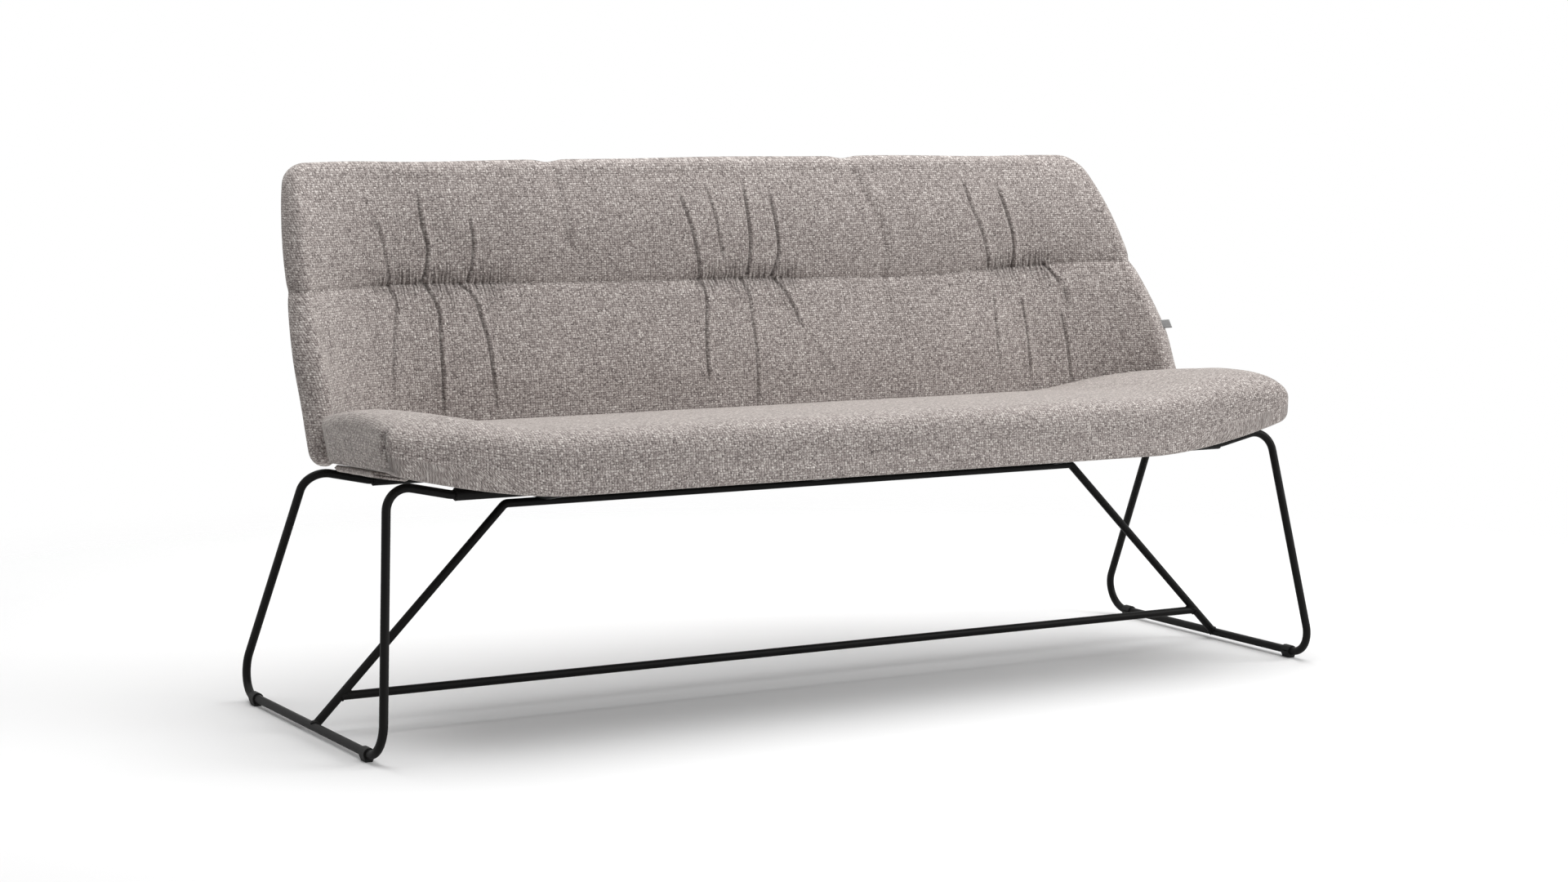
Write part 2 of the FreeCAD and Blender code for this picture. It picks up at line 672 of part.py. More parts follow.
def seat_wire(x, inset, grow):
    """Upright outline of the seat pad at a place along the bench; inset rounds the pad's ends."""
    share = seat_end_share(x)
    front = seat_v(size("seat_corner_setback") * share ** 2 - size("seat_front_reach"), 0) + inset - grow
    rise = size("seat_top_rise") * smooth_step(share * size("seat_rise_pace"))
    bottom = board_bottom - layer + board_rise(x) + inset / 2 - grow
    lip = size("seat_lip_rise") * share ** size("seat_lip_pace") - size("seat_lip_drop") + inset / 2 - grow
    top_front = size("seat_front_height") + rise - inset + grow
    top_rear = size("seat_rear_height") + rise - inset + grow
    rear_low = seat_rear(x, bottom) - inset + grow
    rear_high = seat_rear(x, top_rear) - inset + grow
    lip_back = front + size("seat_lip_width") + 2 * grow
    edge = min(size("seat_edge_radius"), (top_front - lip) / 2)
    flat_from = front + edge + size("seat_corner_depth") * share ** 2
    small = size("seat_lip_round")
    low_nook = small * (1 - math.sqrt(0.5))

    def spot(v, w):
        return seat_at(x, v, w)

    crown = spot((flat_from + rear_high - small) / 2, (top_front + top_rear) / 2 + size("seat_crown"))
    run = [
        Part.LineSegment(spot(rear_low, bottom), spot(lip_back, bottom)),
        Part.LineSegment(spot(lip_back, bottom), spot(lip_back - small / 2, lip)),
        Part.LineSegment(spot(lip_back - small / 2, lip), spot(front + small, lip)),
        Part.Arc(spot(front + small, lip), spot(front + low_nook, lip + low_nook), spot(front, lip + small)),
        Part.LineSegment(spot(front, lip + small), spot(front, top_front - edge)),
        soft_corner(spot(front, top_front - edge), spot(front, top_front), spot(flat_from, top_front)),
        Part.Arc(spot(flat_from, top_front), crown, spot(rear_high - small, top_rear)),
        Part.Arc(spot(rear_high - small, top_rear), spot(rear_high - low_nook, top_rear - low_nook),
                 spot(rear_high, top_rear - small)),
        Part.LineSegment(spot(rear_high, top_rear - small), spot(rear_low, bottom)),
    ]
    return Part.Wire([piece.toShape() for piece in run])


# Outlines of the pad up the rise of its ends, and round its end edges
RISE_STEPS = 16
END_SHARES = (0, 0.05, 0.15, 0.3, 0.55, 1)


def rise_stations():
    """Places along the bench, from the rounded end of the seat to its flat middle."""
    inner = size("seat_half_length") - size("seat_end_round")
    return [inner + step / RISE_STEPS * (size("seat_rise_from") - inner) for step in range(RISE_STEPS + 1)]


def seat_form(grow):
    """The whole seat pad, grown by a layer over its foam."""
    half = size("seat_half_length") - cover - layer + grow
    bend = size("seat_end_round")
    marks = rise_stations()
    stations = [(half - share * (half - marks[0]), drawn_in(bend, share)) for share in END_SHARES]
    stations += [(x, 0) for x in marks[1:]]
    stations += [(-x, inset) for x, inset in reversed(stations)]
    return Part.makeLoft([seat_wire(x, inset, grow) for x, inset in stations], True, True)


def seat_layer(low, high, inner, outer, front, rear):
    """A sheet that follows the board's curve, between two heights and two places along the bench."""
    marks = [x for x in rise_stations()[::-1] if inner < x < outer] + [outer]
    marks = [inner] + marks if inner else [-x for x in marks[::-1]] + marks
    row = [seat_at(x, front, low + board_rise(x)) for x in marks]
    row += [seat_at(x, front, high + board_rise(x)) for x in marks[::-1]]
    face = Part.Face(Part.makePolygon(row + row[:1]))
    return face.extrude(seat_at(0, rear, 0) - seat_at(0, front, 0))


# Fixings


# Room past a bracket's ends, against the room at its faces
BRACKET_END_ROOM = 3


def bracket_blank(x, spare, heads):
    """A steel angle on the seat board and the back board; spare and heads make the room that it needs."""
    recline = math.radians(size("back_recline"))
    along = Vector(0, math.cos(tilt), -math.sin(tilt))
    upward = Vector(0, math.sin(tilt), math.cos(tilt))
    climb = Vector(0, math.sin(recline), math.cos(recline))
    gap = size("weld_gap") - spare
    thick = size("bracket_thickness") + 2 * spare + heads
    w = board_top + gap
    face = size("back_board_thickness") / 2 + gap
    heel = board_heel(x, w, face)
    throat = board_heel(x, w + thick, face + thick / math.cos(recline))
    toe = heel - along * (size("bracket_seat_leg") + BRACKET_END_ROOM * spare)
    tip = heel + climb * (size("bracket_back_leg") + BRACKET_END_ROOM * spare)
    level = Vector(0, thick / math.cos(recline), 0)
    corners = [heel, toe, toe + upward * thick, throat, tip - level, tip, heel]
    width = size("bracket_width") + 2 * spare
    blank = Part.Face(Part.makePolygon(corners)).extrude(Vector(width, 0, 0))
    blank.translate(Vector(-width / 2, 0, 0))
    return blank


def board_heel(x, w, offset):
    """Where a line over the seat board meets a line in front of the back board's middle."""
    slope = math.tan(math.radians(size("back_recline")))
    base = seat_at(x, 0, w)
    foot = at(x, size("back_foot_reach") - offset, size("back_bottom"))
    run = (foot.y - base.y + (base.z - foot.z) * slope) / (math.cos(tilt) + math.sin(tilt) * slope)
    return seat_at(x, run, w)


def bracket_screws(x):
    """Head, axis and leg of a bracket's screws: two on the seat board and two on the back board."""
    recline = math.radians(size("back_recline"))
    down = Vector(0, -math.sin(tilt), -math.cos(tilt))
    rearward = Vector(0, math.cos(recline), -math.sin(recline))
    thick = size("bracket_thickness")
    heel = board_heel(x, board_top + size("weld_gap"), size("back_board_thickness") / 2 + size("weld_gap"))
    along = Vector(0, math.cos(tilt), -math.sin(tilt))
    climb = Vector(0, math.sin(recline), math.cos(recline))
    spots = {"seat": [], "back": []}
    for step in range(2):
        inset = size("bracket_screw_first") + step * size("bracket_screw_pitch")
        spots["seat"].append((heel - along * (size("bracket_seat_leg") - inset) - down * thick, down))
        spots["back"].append((heel + climb * (size("bracket_back_leg") - inset) - rearward * thick, rearward))
    return spots


def pin_shape(spot, axis, radius, start, end):
    """A round bar along an axis, between two distances from a spot."""
    return Part.makeCylinder(radius, end - start, spot + axis * start, axis)


def bracket_screw(spot, axis):
    head = size("bracket_screw_head") / 2
    end = size("bracket_thickness") + size("bracket_screw_length")
    shank = pin_shape(spot, axis, size("bracket_screw_diameter") / 2, 0, end)
    return pin_shape(spot, axis, head, -size("bracket_screw_head_height"), 0).fuse(shank).removeSplitter()


def tab_places():
    """Middle and turn of each seat tab: v of the rail it is welded to, and its side of that rail."""
    for spread in (-size("tab_outer_at"), -size("tab_inner_at"), size("tab_inner_at"), size("tab_outer_at")):
        yield spread, 0, 0
        yield spread, rail_pitch, 180


def tab_reach():
    """Near edge of a tab, from the middle of its rail, where its lower corner meets the tube."""
    return math.sqrt(rail_radius ** 2 - (rail_radius - size("tab_thickness")) ** 2) + size("weld_gap")


def tab_screw_reach():
    return tab_reach() + size("tab_length") / 2


def on_tabs(shape):
    """Copies of a shape at every tab, seat screw or insert."""
    copies = []
    for x, v, turn in tab_places():
        copy = shape.copy()
        copy.Placement = seat_place(x, v, 0).multiply(Placement(Vector(), Rotation(Vector(0, 0, 1), turn)))
        copies.append(copy)
    return copies


def tab_shape():
    """One tab, padded from a plan sketch and drilled."""
    body = doc.addObject("PartDesign::Body", "tab_pattern")
    sketch = new_sketch(body, "Plan", "XY_Plane")
    near = tab_reach()
    side = "sizes.tab_width / 2"
    far = f"{near} + sizes.tab_length"
    outline(sketch, ((f"-{side}", f"{near}"), (side, f"{near}"), (side, far), (f"-{side}", far)))
    plate = body.newObject("PartDesign::Pad", "Pad")
    plate.Profile = sketch
    plate.Reversed = True
    plate.setExpression("Length", "sizes.tab_thickness")
    doc.recompute()
    holes = new_sketch(body, "Holes", "XY_Plane")
    ring(holes, "0", f"{near} + sizes.tab_length / 2", "sizes.tab_hole_diameter / 2")
    drill(body, holes)
    return body.Shape


def turned_shape(name, corners):
    """A shape turned round the upright axis from a half outline."""
    body = doc.addObject("PartDesign::Body", name)
    sketch = new_sketch(body, "Half", "XZ_Plane")
    outline(sketch, corners)
    turn = body.newObject("PartDesign::Revolution", "Revolution")
    turn.Profile = sketch
    turn.ReferenceAxis = (sketch, ["V_Axis"])
    turn.Angle = 360
    doc.recompute()
    shape = body.Shape.copy()
    shape.translate(Vector(0, tab_screw_reach(), 0))
    return Part.makeCompound([shape])


def screw_shape():
    """One seat screw: head under the tab, socket in the head, shank up into the insert."""
    head = "sizes.screw_head_diameter / 2"
    shank = "sizes.screw_diameter / 2"
    socket = "sizes.screw_socket_diameter / 2"
    under = "-sizes.tab_thickness"
    low = f"{under} - sizes.screw_head_height"
    bed = f"{low} + sizes.screw_socket_depth"
    end = "sizes.screw_reach"
    return turned_shape("screw_pattern", (
        ("0", bed), (socket, bed), (socket, low), (head, low),
        (head, under), (shank, under), (shank, end), ("0", end)))


def insert_shape():
    """One threaded insert in the seat board."""
    bore = "sizes.screw_diameter / 2 + sizes.thread_clearance"
    wall = "sizes.insert_diameter / 2"
    low = f"{board_bottom + layer}"
    high = f"{low} + sizes.insert_length"
    return turned_shape("insert_pattern", ((bore, low), (wall, low), (wall, high), (bore, high)))


# Steel frame

sled_leg("sled_leg_left", -1)
sled_leg("sled_leg_right", 1)
seat_rail("seat_rail_front", -size("front_rail_reach"), size("front_rail_height"))
seat_rail("seat_rail_rear", size("rear_rail_reach"), size("rear_rail_height"))
truss_bar()
stretcher_bar()
cross_plate("cross_plate_left", -size("cross_plate_at"))
cross_plate("cross_plate_centre", 0)
cross_plate("cross_plate_right", size("cross_plate_at"))

front_glide = -size("front_foot_reach") + size("glide_length") / 2 + foot_setback(
    -size("front_foot_reach"), -size("front_rail_reach"), size("front_rail_height"))
rear_glide = size("rear_foot_reach") - size("glide_length") / 2 - foot_setback(
    size("rear_foot_reach"), size("rear_rail_reach"), size("rear_rail_height"))
for side, side_name in ((-1, "left"), (1, "right")):
    floor_glide(f"floor_glide_front_{side_name}", side, front_glide)
    floor_glide(f"floor_glide_rear_{side_name}", side, rear_glide)

# Seat fixing

solid_node("seat_tabs", Part.makeCompound(on_tabs(tab_shape())))
solid_node("seat_screws", Part.makeCompound(on_tabs(screw_shape())))
solid_node("seat_inserts", Part.makeCompound(on_tabs(insert_shape())))

# Brackets and their screws

bracket_spread = [side * size(f"bracket_{name}_at") for name, side in (
    ("outer", -1), ("inner", -1), ("inner", 1), ("outer", 1))]
screw_spots = {"seat": [], "back": []}
bracket_rooms = []
for number, x in enumerate(bracket_spread, start=1):
    holes = []
    for board, spots in bracket_screws(x).items():
        screw_spots[board] += spots
        reach = 2 * size("bracket_thickness")
        holes += [pin_shape(*spot, size("bracket_hole_diameter") / 2, -reach, reach) for spot in spots]
    solid_node(f"back_bracket_{number}", bracket_blank(x, 0, 0).cut(holes))
    bracket_rooms.append(bracket_blank(x, size("bracket_room"), size("bracket_screw_head_height")))
for board, spots in screw_spots.items():
    solid_node(f"bracket_{board}_screws", Part.makeCompound([bracket_screw(*spot) for spot in spots]))


def screw_holes(board):
    """Pilot holes for the bracket screws in one of the boards."""
    radius = size("bracket_screw_diameter") / 2 + size("thread_clearance")
    end = size("bracket_thickness") + size("bracket_screw_length") + layer
    return [pin_shape(*spot, radius, 0, end) for spot in screw_spots[board]]


# Seat: board, foam, cover, dust cover and end strips

pad_front = seat_v(-size("seat_front_reach"), 0)
pad_rear = seat_rear(0, board_bottom)
beyond = pad_rear + size("board_front_setback")
board_front = pad_front + size("board_front_setback")
board_half = size("seat_half_length") - size("board_end_setback")
filling = seat_form(0)

insert_holes = on_tabs(Part.makeCylinder(
    size("insert_diameter") / 2 + size("thread_clearance"), 2 * board_top, Vector(0, tab_screw_reach(), 0)))
board = seat_layer(board_bottom, board_top, 0, board_half, board_front, beyond).common(filling)
solid_node("seat_board", board.cut(insert_holes + screw_holes("seat")))

below_pad = -2 * size("seat_lip_drop")
board_room = seat_layer(below_pad, board_top + layer, 0, board_half + layer, board_front - layer, beyond)
solid_node("seat_foam", filling.cut([board_room] + bracket_rooms))

opening_front = board_front + size("fabric_turn_in")
opening_rear = pad_rear - size("fabric_turn_in")
opening = seat_layer(
    below_pad, board_bottom + layer, 0, size("opening_half_length"), opening_front, opening_rear)
skin = seat_form(layer + cover).cut(seat_form(layer))
solid_node("seat_cover", skin.cut([opening] + bracket_rooms))

lap = size("dust_cover_lap")
dust = seat_layer(
    layer, layer + size("dust_cover_thickness"), 0, size("opening_half_length") + lap,
    opening_front - lap, opening_rear + lap)
dust_holes = on_tabs(Part.makeCylinder(
    size("tab_hole_diameter") / 2, 2 * board_top, Vector(0, tab_screw_reach(), -board_top)))
solid_node("dust_cover", dust.cut(dust_holes))

wrap_top = board_bottom - 3 * layer - cover
wrap_inner = board_half - size("wrap_depth")
for side, side_name in ((-1, "left"), (1, "right")):
    wrap = seat_layer(
        wrap_top - size("wrap_thickness"), wrap_top, wrap_inner, board_half,
        size("wrap_front_setback"), seat_rear(board_half, board_bottom))
    if side < 0:
        wrap = wrap.mirror(Vector(), Vector(1, 0, 0))
    solid_node(f"end_wrap_{side_name}", wrap)

# Back: board, padding, two foams and cover

half_board = size("back_board_thickness") / 2
stuffing = back_form(0)
inset = size("back_board_inset")
low = size("back_bottom")
high = size("back_top")
outside = 3 * size("back_foam_depth")


def between(low, high):
    """A block round the back between two heights."""
    half = size("back_half_length") + outside
    return Part.makeBox(2 * half, 4 * half, high - low, Vector(-half, -2 * half, low))


back_board = back_slab(half_board, half_board, inset).common(between(low + inset, high - inset))
solid_node("back_board", back_board.cut(screw_holes("back")))

behind = back_slab(half_board + layer, outside, -outside)
before = back_slab(outside, half_board + layer, -outside)
solid_node("back_padding", stuffing.cut(before))
foam = stuffing.cut([behind] + bracket_rooms)
seam = size("back_seam_height")
gap = size("seam_gap")
for name, bottom, top in (("lower", low - inset, seam - gap / 2), ("upper", seam + gap / 2, high + inset)):
    solid_node(f"back_foam_{name}", foam.common(between(bottom, top)))
solid_node("back_cover", back_form(layer + cover).cut([back_form(layer)] + bracket_rooms))

# Tag in the back's right edge

tag_z = size("tag_at")
tag_middle = (foam_front(tag_z) - half_board - layer - size("back_padding_thickness")) / 2
tag_turn = edge_turn(tag_z, 0, 0)[0]
tag_way = Vector(math.cos(tag_turn), -math.sin(tag_turn), 0)
tag_ends = []
for z in (tag_z - size("tag_height") / 2, tag_z + size("tag_height") / 2):
    tag_ends.append(wing_spot(1, z, edge_turn(z, 0, 0)[0], tag_middle) + tag_way * layer)
tag_ends += [spot + tag_way * size("tag_length") for spot in reversed(tag_ends)]
tag_face = Part.Face(Part.makePolygon(tag_ends + tag_ends[:1]))
tag_normal = (tag_ends[1] - tag_ends[0]).cross(tag_way).normalize()
tag_face.translate(tag_normal * (-size("tag_thickness") / 2))
solid_node("side_tag", tag_face.extrude(tag_normal * size("tag_thickness")))

doc.recompute()

# Nothing is written unless every object and every sub-part is sound

faults = [item.Label for item in doc.Objects if {"Invalid", "Error"} & set(item.State)]
faults += [item.Label for item in nodes if item.Shape.isNull() or not item.Shape.isValid()]
if faults:
    raise RuntimeError(f"these failed: {', '.join(faults)}")

os.makedirs("parts", exist_ok=True)
for item in nodes:
    item.Shape.exportStep(f"parts/{item.Label}.step")
    box = item.Shape.BoundBox
    print(f"{item.Label}: {len(item.Shape.Solids)} solid, {item.Shape.Volume / 1000:.1f} cm3,"
          f" y {box.YMin:.1f} to {box.YMax:.1f}, z {box.ZMin:.1f} to {box.ZMax:.1f}")
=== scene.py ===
import math

import bpy
import numpy as np
from mathutils import Matrix, Vector


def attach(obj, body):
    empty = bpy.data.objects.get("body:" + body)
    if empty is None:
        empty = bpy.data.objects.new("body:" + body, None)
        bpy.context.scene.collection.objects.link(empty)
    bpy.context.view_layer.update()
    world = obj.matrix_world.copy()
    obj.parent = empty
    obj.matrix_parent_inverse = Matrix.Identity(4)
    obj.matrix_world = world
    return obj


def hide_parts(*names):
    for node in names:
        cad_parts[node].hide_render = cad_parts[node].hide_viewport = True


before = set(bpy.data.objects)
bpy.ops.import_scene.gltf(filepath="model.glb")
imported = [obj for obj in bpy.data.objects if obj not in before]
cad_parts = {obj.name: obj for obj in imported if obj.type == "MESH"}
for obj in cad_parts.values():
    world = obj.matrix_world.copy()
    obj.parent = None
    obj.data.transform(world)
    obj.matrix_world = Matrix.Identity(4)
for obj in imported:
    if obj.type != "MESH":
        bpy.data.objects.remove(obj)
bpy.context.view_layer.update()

scene = bpy.context.scene
scene.view_settings.view_transform = "Standard"
MM = 0.001
TAU = 2 * math.pi


# Camera, at the photograph's place

SENSOR_WIDTH = 36
FOCAL_LENGTH = 68.63
YAW, PITCH, ROLL = 0.52319, 0.11289, -0.003918
CAMERA_PLACE = (-2.5688, -4.4280, 0.9953)
FARTHEST = 60


def set_camera():
    lens = bpy.data.cameras.new("photo_view")
    lens.sensor_width = SENSOR_WIDTH
    lens.lens = FOCAL_LENGTH
    lens.clip_end = FARTHEST
    camera = bpy.data.objects.new("photo_view", lens)
    camera.matrix_world = (
        Matrix.Translation(CAMERA_PLACE) @ Matrix.Rotation(-YAW, 4, "Z")
        @ Matrix.Rotation(math.pi / 2 - PITCH, 4, "X") @ Matrix.Rotation(-ROLL, 4, "Z"))
    scene.collection.objects.link(camera)
    scene.camera = camera


set_camera()


# Finishes


def set_stops(ramp, stops):
    while len(ramp.elements) < len(stops):
        ramp.elements.new(0.5)
    for element, (place, colour) in zip(ramp.elements, stops):
        element.position = place
        element.color = (*colour, 1)


def add_node(tree, kind, settings=None, sockets=None):
    """A new node of a tree: its settings first, then the values or links of its sockets."""
    made = tree.nodes.new(kind)
    for name, value in (settings or {}).items():
        if name == "stops":
            set_stops(made.color_ramp, value)
        else:
            setattr(made, name, value)
    for key, value in (sockets or {}).items():
        if isinstance(value, Reading):
            value = value.socket
        if isinstance(value, bpy.types.NodeSocket):
            tree.links.new(value, made.inputs[key])
        else:
            made.inputs[key].default_value = value
    return made


def sum_of(operation):
    """A method of Reading: one sum of it and of what the method is given."""
    return lambda self, *others: self.sum(operation, self, *others)


class Reading:
    """A number that changes over a surface; sums on it are written as plain Python."""

    def __init__(self, finish, socket):
        self.finish = finish
        self.socket = socket

    def sum(self, operation, *terms):
        made = self.finish.node("ShaderNodeMath", {"operation": operation}, dict(enumerate(terms)))
        return Reading(self.finish, made.outputs[0])

    def __rsub__(self, other):
        return self.sum("SUBTRACT", other, self)

    __add__ = __radd__ = sum_of("ADD")
    __mul__ = __rmul__ = sum_of("MULTIPLY")
    __sub__ = sum_of("SUBTRACT")
    __truediv__ = sum_of("DIVIDE")
    __pow__ = sum_of("POWER")
    floor = sum_of("FLOOR")
    part = sum_of("FRACT")
    sine = sum_of("SINE")
    most = sum_of("MAXIMUM")
    over = sum_of("GREATER_THAN")


class Finish:
    """A material being mixed: its nodes and the shader that they feed."""

    def __init__(self, name, **fixed):
        self.material = bpy.data.materials.new(name)
        self.material.use_nodes = True
        self.tree = self.material.node_tree
        self.shader = self.tree.nodes["Principled BSDF"]
        for socket, value in fixed.items():
            self.shader.inputs[socket.replace("_", " ")].default_value = value

    def node(self, kind, settings=None, sockets=None):
        return add_node(self.tree, kind, settings, sockets)

    def reading(self, node, output=0):
        return Reading(self, node.outputs[output])

    def place(self):
        return self.node("ShaderNodeTexCoord").outputs["Object"]

    def cloth_place(self):
        return self.node("ShaderNodeUVMap", {"uv_map": "weave"}).outputs[0]

    def axes(self, where):
        """The parts of a place along each axis, as readings."""
        apart = self.node("ShaderNodeSeparateXYZ", None, {0: where})
        return [self.reading(apart, axis) for axis in range(3)]

    def marked(self, name):
        """What mark() stored at the points of a piece."""
        return self.reading(self.node("ShaderNodeAttribute", {"attribute_name": name}), "Fac")

    def noise(self, where, scale, detail=2.0, roughness=0.5, stretch=None):
        if stretch:
            where = self.node("ShaderNodeMapping", None, {"Vector": where, "Scale": stretch}).outputs[0]
        found = self.node("ShaderNodeTexNoise", None, {
            "Vector": where, "Scale": scale, "Detail": detail, "Roughness": roughness})
        return self.reading(found, "Fac")

    def ripple(self, reading, pitch):
        """A wave from 0 to 1 along a reading."""
        return (reading * (TAU / pitch)).sine() * 0.5 + 0.5

    def shades(self, reading, stops):
        return self.node("ShaderNodeValToRGB", {"stops": stops}, {"Fac": reading}).outputs["Color"]

    def blend(self, amount, first, second, mode="MIX"):
        mixed = self.node("ShaderNodeMix", {"data_type": "RGBA", "blend_type": mode},
                          {0: amount, 6: first, 7: second})
        return mixed.outputs[2]

    def relief(self, height, distance, strength=1.0):
        bump = self.node("ShaderNodeBump", None, {"Height": height, "Distance": distance, "Strength": strength})
        return bump.outputs[0]

    def feed(self, **links):
        for socket, value in links.items():
            if isinstance(value, Reading):
                value = value.socket
            self.tree.links.new(value, self.shader.inputs[socket.replace("_", " ")])
        return self.material


# The weave, in metres: threads, how far they wander, and the small pleats along a gathered seam
WEFT_PITCH = 0.0040
WARP_PITCH = 0.0047
THREAD_WANDER = (0.0018, 0.0015, 0)
PLEAT_PITCH = 0.0068
# Colours of the painted shade laid into the folds and into the hollows of the small pleats
FOLD_SHADE = (0.060, 0.050, 0.047, 1)
PLEAT_SHADE = (0.070, 0.058, 0.055, 1)


def woven_upholstery():
    """Coarse plain weave of flecked yarns, dark and light, in a warm grey."""
    cloth = Finish("flecked_weave", Roughness=0.92, Sheen_Weight=0.35, Sheen_Roughness=0.55,
                   Sheen_Tint=(0.96, 0.92, 0.87, 1), Specular_IOR_Level=0.25)
    flat = cloth.cloth_place()
    wander = cloth.node("ShaderNodeTexNoise", {"noise_dimensions": "2D"},
                        {"Vector": flat, "Scale": 95, "Detail": 2.0}).outputs["Color"]
    shift = cloth.node("ShaderNodeVectorMath", {"operation": "MULTIPLY_ADD"},
                       {0: wander, 1: THREAD_WANDER, 2: flat}).outputs[0]
    across, along, _ = cloth.axes(shift)
    across, along = across / WARP_PITCH, along / WEFT_PITCH
    column, row = across.floor(), along.floor()
    odd_column, odd_row = ((thread * math.pi + math.pi / 2).sine() for thread in (column, row))
    warp = (across.part() * math.pi).sine() * (0.68 + 0.32 * (along * math.pi).sine() * odd_column)
    weft = (along.part() * math.pi).sine() * (0.68 - 0.32 * (across * math.pi).sine() * odd_row)
    height = warp.most(weft)
    on_top = warp.over(weft)
    lanes = []
    for first, second in ((column * 5.3, along * 0.95), (across * 0.80, row * 7.7 + 40)):
        lane = cloth.node("ShaderNodeCombineXYZ", None, {0: first, 1: second}).outputs[0]
        lanes.append(cloth.noise(lane, 1.0, 2.5, 0.62))
    yarn = lanes[0] * on_top + lanes[1] * (1 - on_top)
    fleck = cloth.noise(flat, 480, 1.5, 0.6)
    colour = cloth.shades(yarn * 0.66 + fleck * 0.34, (
        (0.34, (0.074, 0.061, 0.058)), (0.45, (0.245, 0.208, 0.197)),
        (0.53, (0.430, 0.382, 0.361)), (0.64, (0.770, 0.722, 0.684))))
    depth = (height * 1.25 + 0.02) ** 0.55
    shadow = cloth.node("ShaderNodeCombineColor", None, {0: depth, 1: depth, 2: depth}).outputs[0]
    colour = cloth.blend(0.72, colour, shadow, "MULTIPLY")
    worn = cloth.shades(cloth.noise(flat, 9, 3.0), ((0.3, (0.95, 0.95, 0.95)), (0.7, (1.0, 1.0, 1.0))))
    colour = cloth.blend(1.0, colour, worn, "MULTIPLY")
    # Painted shade in the folds, in the seam groove and in the seat's corner tucks, as much as the fold mark
    # says
    colour = cloth.blend(cloth.marked("fold") * 0.66, colour, FOLD_SHADE)
    waver = cloth.noise(flat, 60, 2.0)
    pleat = (cloth.axes(flat)[0] * (TAU / PLEAT_PITCH) + waver * 9).sine()
    # Painted shade in the hollows of the small pleats along the gathered seam; the same hollows are also
    # pressed in as bumps
    sunk = cloth.marked("gather") * (0.5 - 0.5 * pleat)
    colour = cloth.blend(sunk * 0.42, colour, PLEAT_SHADE)
    fibres = cloth.noise(flat, 1900, 2.0)
    bumps = height + fibres * 0.25 - sunk * 2.2
    return cloth.feed(Base_Color=colour, Normal=cloth.relief(bumps, 0.0011, 0.75))


def powder_coat():
    """Satin black powder coat with a fine orange-peel skin."""
    steel = Finish("black_powder_coat", Specular_IOR_Level=0.10)
    place = steel.place()
    peel = steel.noise(place, 520, 2.0, 0.45)
    pores = steel.noise(place, 1500, 1.0)
    tint = steel.noise(place, 14, 2.0)
    colour = steel.shades(tint, ((0.35, (0.0044, 0.0042, 0.0041)), (0.68, (0.0066, 0.0063, 0.0060))))
    return steel.feed(Base_Color=colour, Roughness=0.40 + 0.10 * pores + 0.06 * tint,
                      Normal=steel.relief(peel * 0.7 + pores * 0.3, 0.0003, 0.4))


def moulded_plastic():
    """Black moulded plastic with a fine spark-eroded grain."""
    plastic = Finish("black_moulded_plastic", Specular_IOR_Level=0.2)
    place = plastic.place()
    grain = plastic.noise(place, 2600, 2.0, 0.6)
    scuff = plastic.noise(place, 160, 3.0, 0.6, (1, 0.25, 1))
    colour = plastic.shades(scuff, ((0.40, (0.0055, 0.0055, 0.0055)), (0.75, (0.012, 0.0115, 0.011))))
    return plastic.feed(Base_Color=colour, Roughness=0.50 + 0.16 * grain + 0.08 * scuff,
                        Normal=plastic.relief(grain, 0.00015, 0.5))


def zinc_steel():
    """Bright zinc plate with faint cloudy passivation."""
    zinc = Finish("zinc_plated_steel", Metallic=1.0)
    place = zinc.place()
    cloud = zinc.noise(place, 90, 3.0, 0.6)
    fine = zinc.noise(place, 1800, 2.0)
    colour = zinc.shades(cloud, ((0.3, (0.44, 0.44, 0.45)), (0.7, (0.60, 0.60, 0.58))))
    return zinc.feed(Base_Color=colour, Roughness=0.30 + 0.22 * cloud, Normal=zinc.relief(fine, 0.00008, 0.4))


PLY_PAIR = 0.0048


def beech_plywood():
    """Pale veneer on the faces and stacked plies along the edges."""
    wood = Finish("beech_plywood", Specular_IOR_Level=0.35)
    place = wood.place()
    grain = wood.noise(place, 60, 5.0, 0.6, (0.35, 6, 6))
    pores = wood.noise(place, 900, 1.0, 0.5, (0.12, 1, 1))
    plies = wood.ripple(wood.axes(place)[2], PLY_PAIR)
    face = wood.shades(grain, (
        (0.3, (0.47, 0.31, 0.18)), (0.55, (0.60, 0.43, 0.27)), (0.8, (0.70, 0.53, 0.36))))
    colour = wood.blend(plies * 0.14, face, (0.30, 0.18, 0.10, 1))
    return wood.feed(Base_Color=colour, Roughness=0.56 + 0.14 * pores,
                     Normal=wood.relief(grain * 0.6 + pores, 0.0002, 0.4))


DOT_PITCH = 0.0026


def underside_lining():
    """Black spun-bonded cloth with its pattern of pressed points."""
    lining = Finish("black_lining", Sheen_Weight=0.2, Specular_IOR_Level=0.25)
    place = lining.place()
    across, along, _ = lining.axes(place)
    dots = (across * (TAU / DOT_PITCH)).sine() * (along * (TAU / DOT_PITCH)).sine()
    fibre = lining.noise(place, 700, 4.0, 0.65, (1, 3, 1))
    colour = lining.shades(fibre * 0.8 + dots * 0.15, (
        (0.3, (0.010, 0.010, 0.010)), (0.7, (0.030, 0.029, 0.028))))
    return lining.feed(Base_Color=colour, Roughness=0.80 + 0.15 * fibre,
                       Normal=lining.relief(dots * 0.5 + fibre, 0.0003, 0.5))


RIB_PITCH = 0.0006
THREAD_PITCH = 0.0004


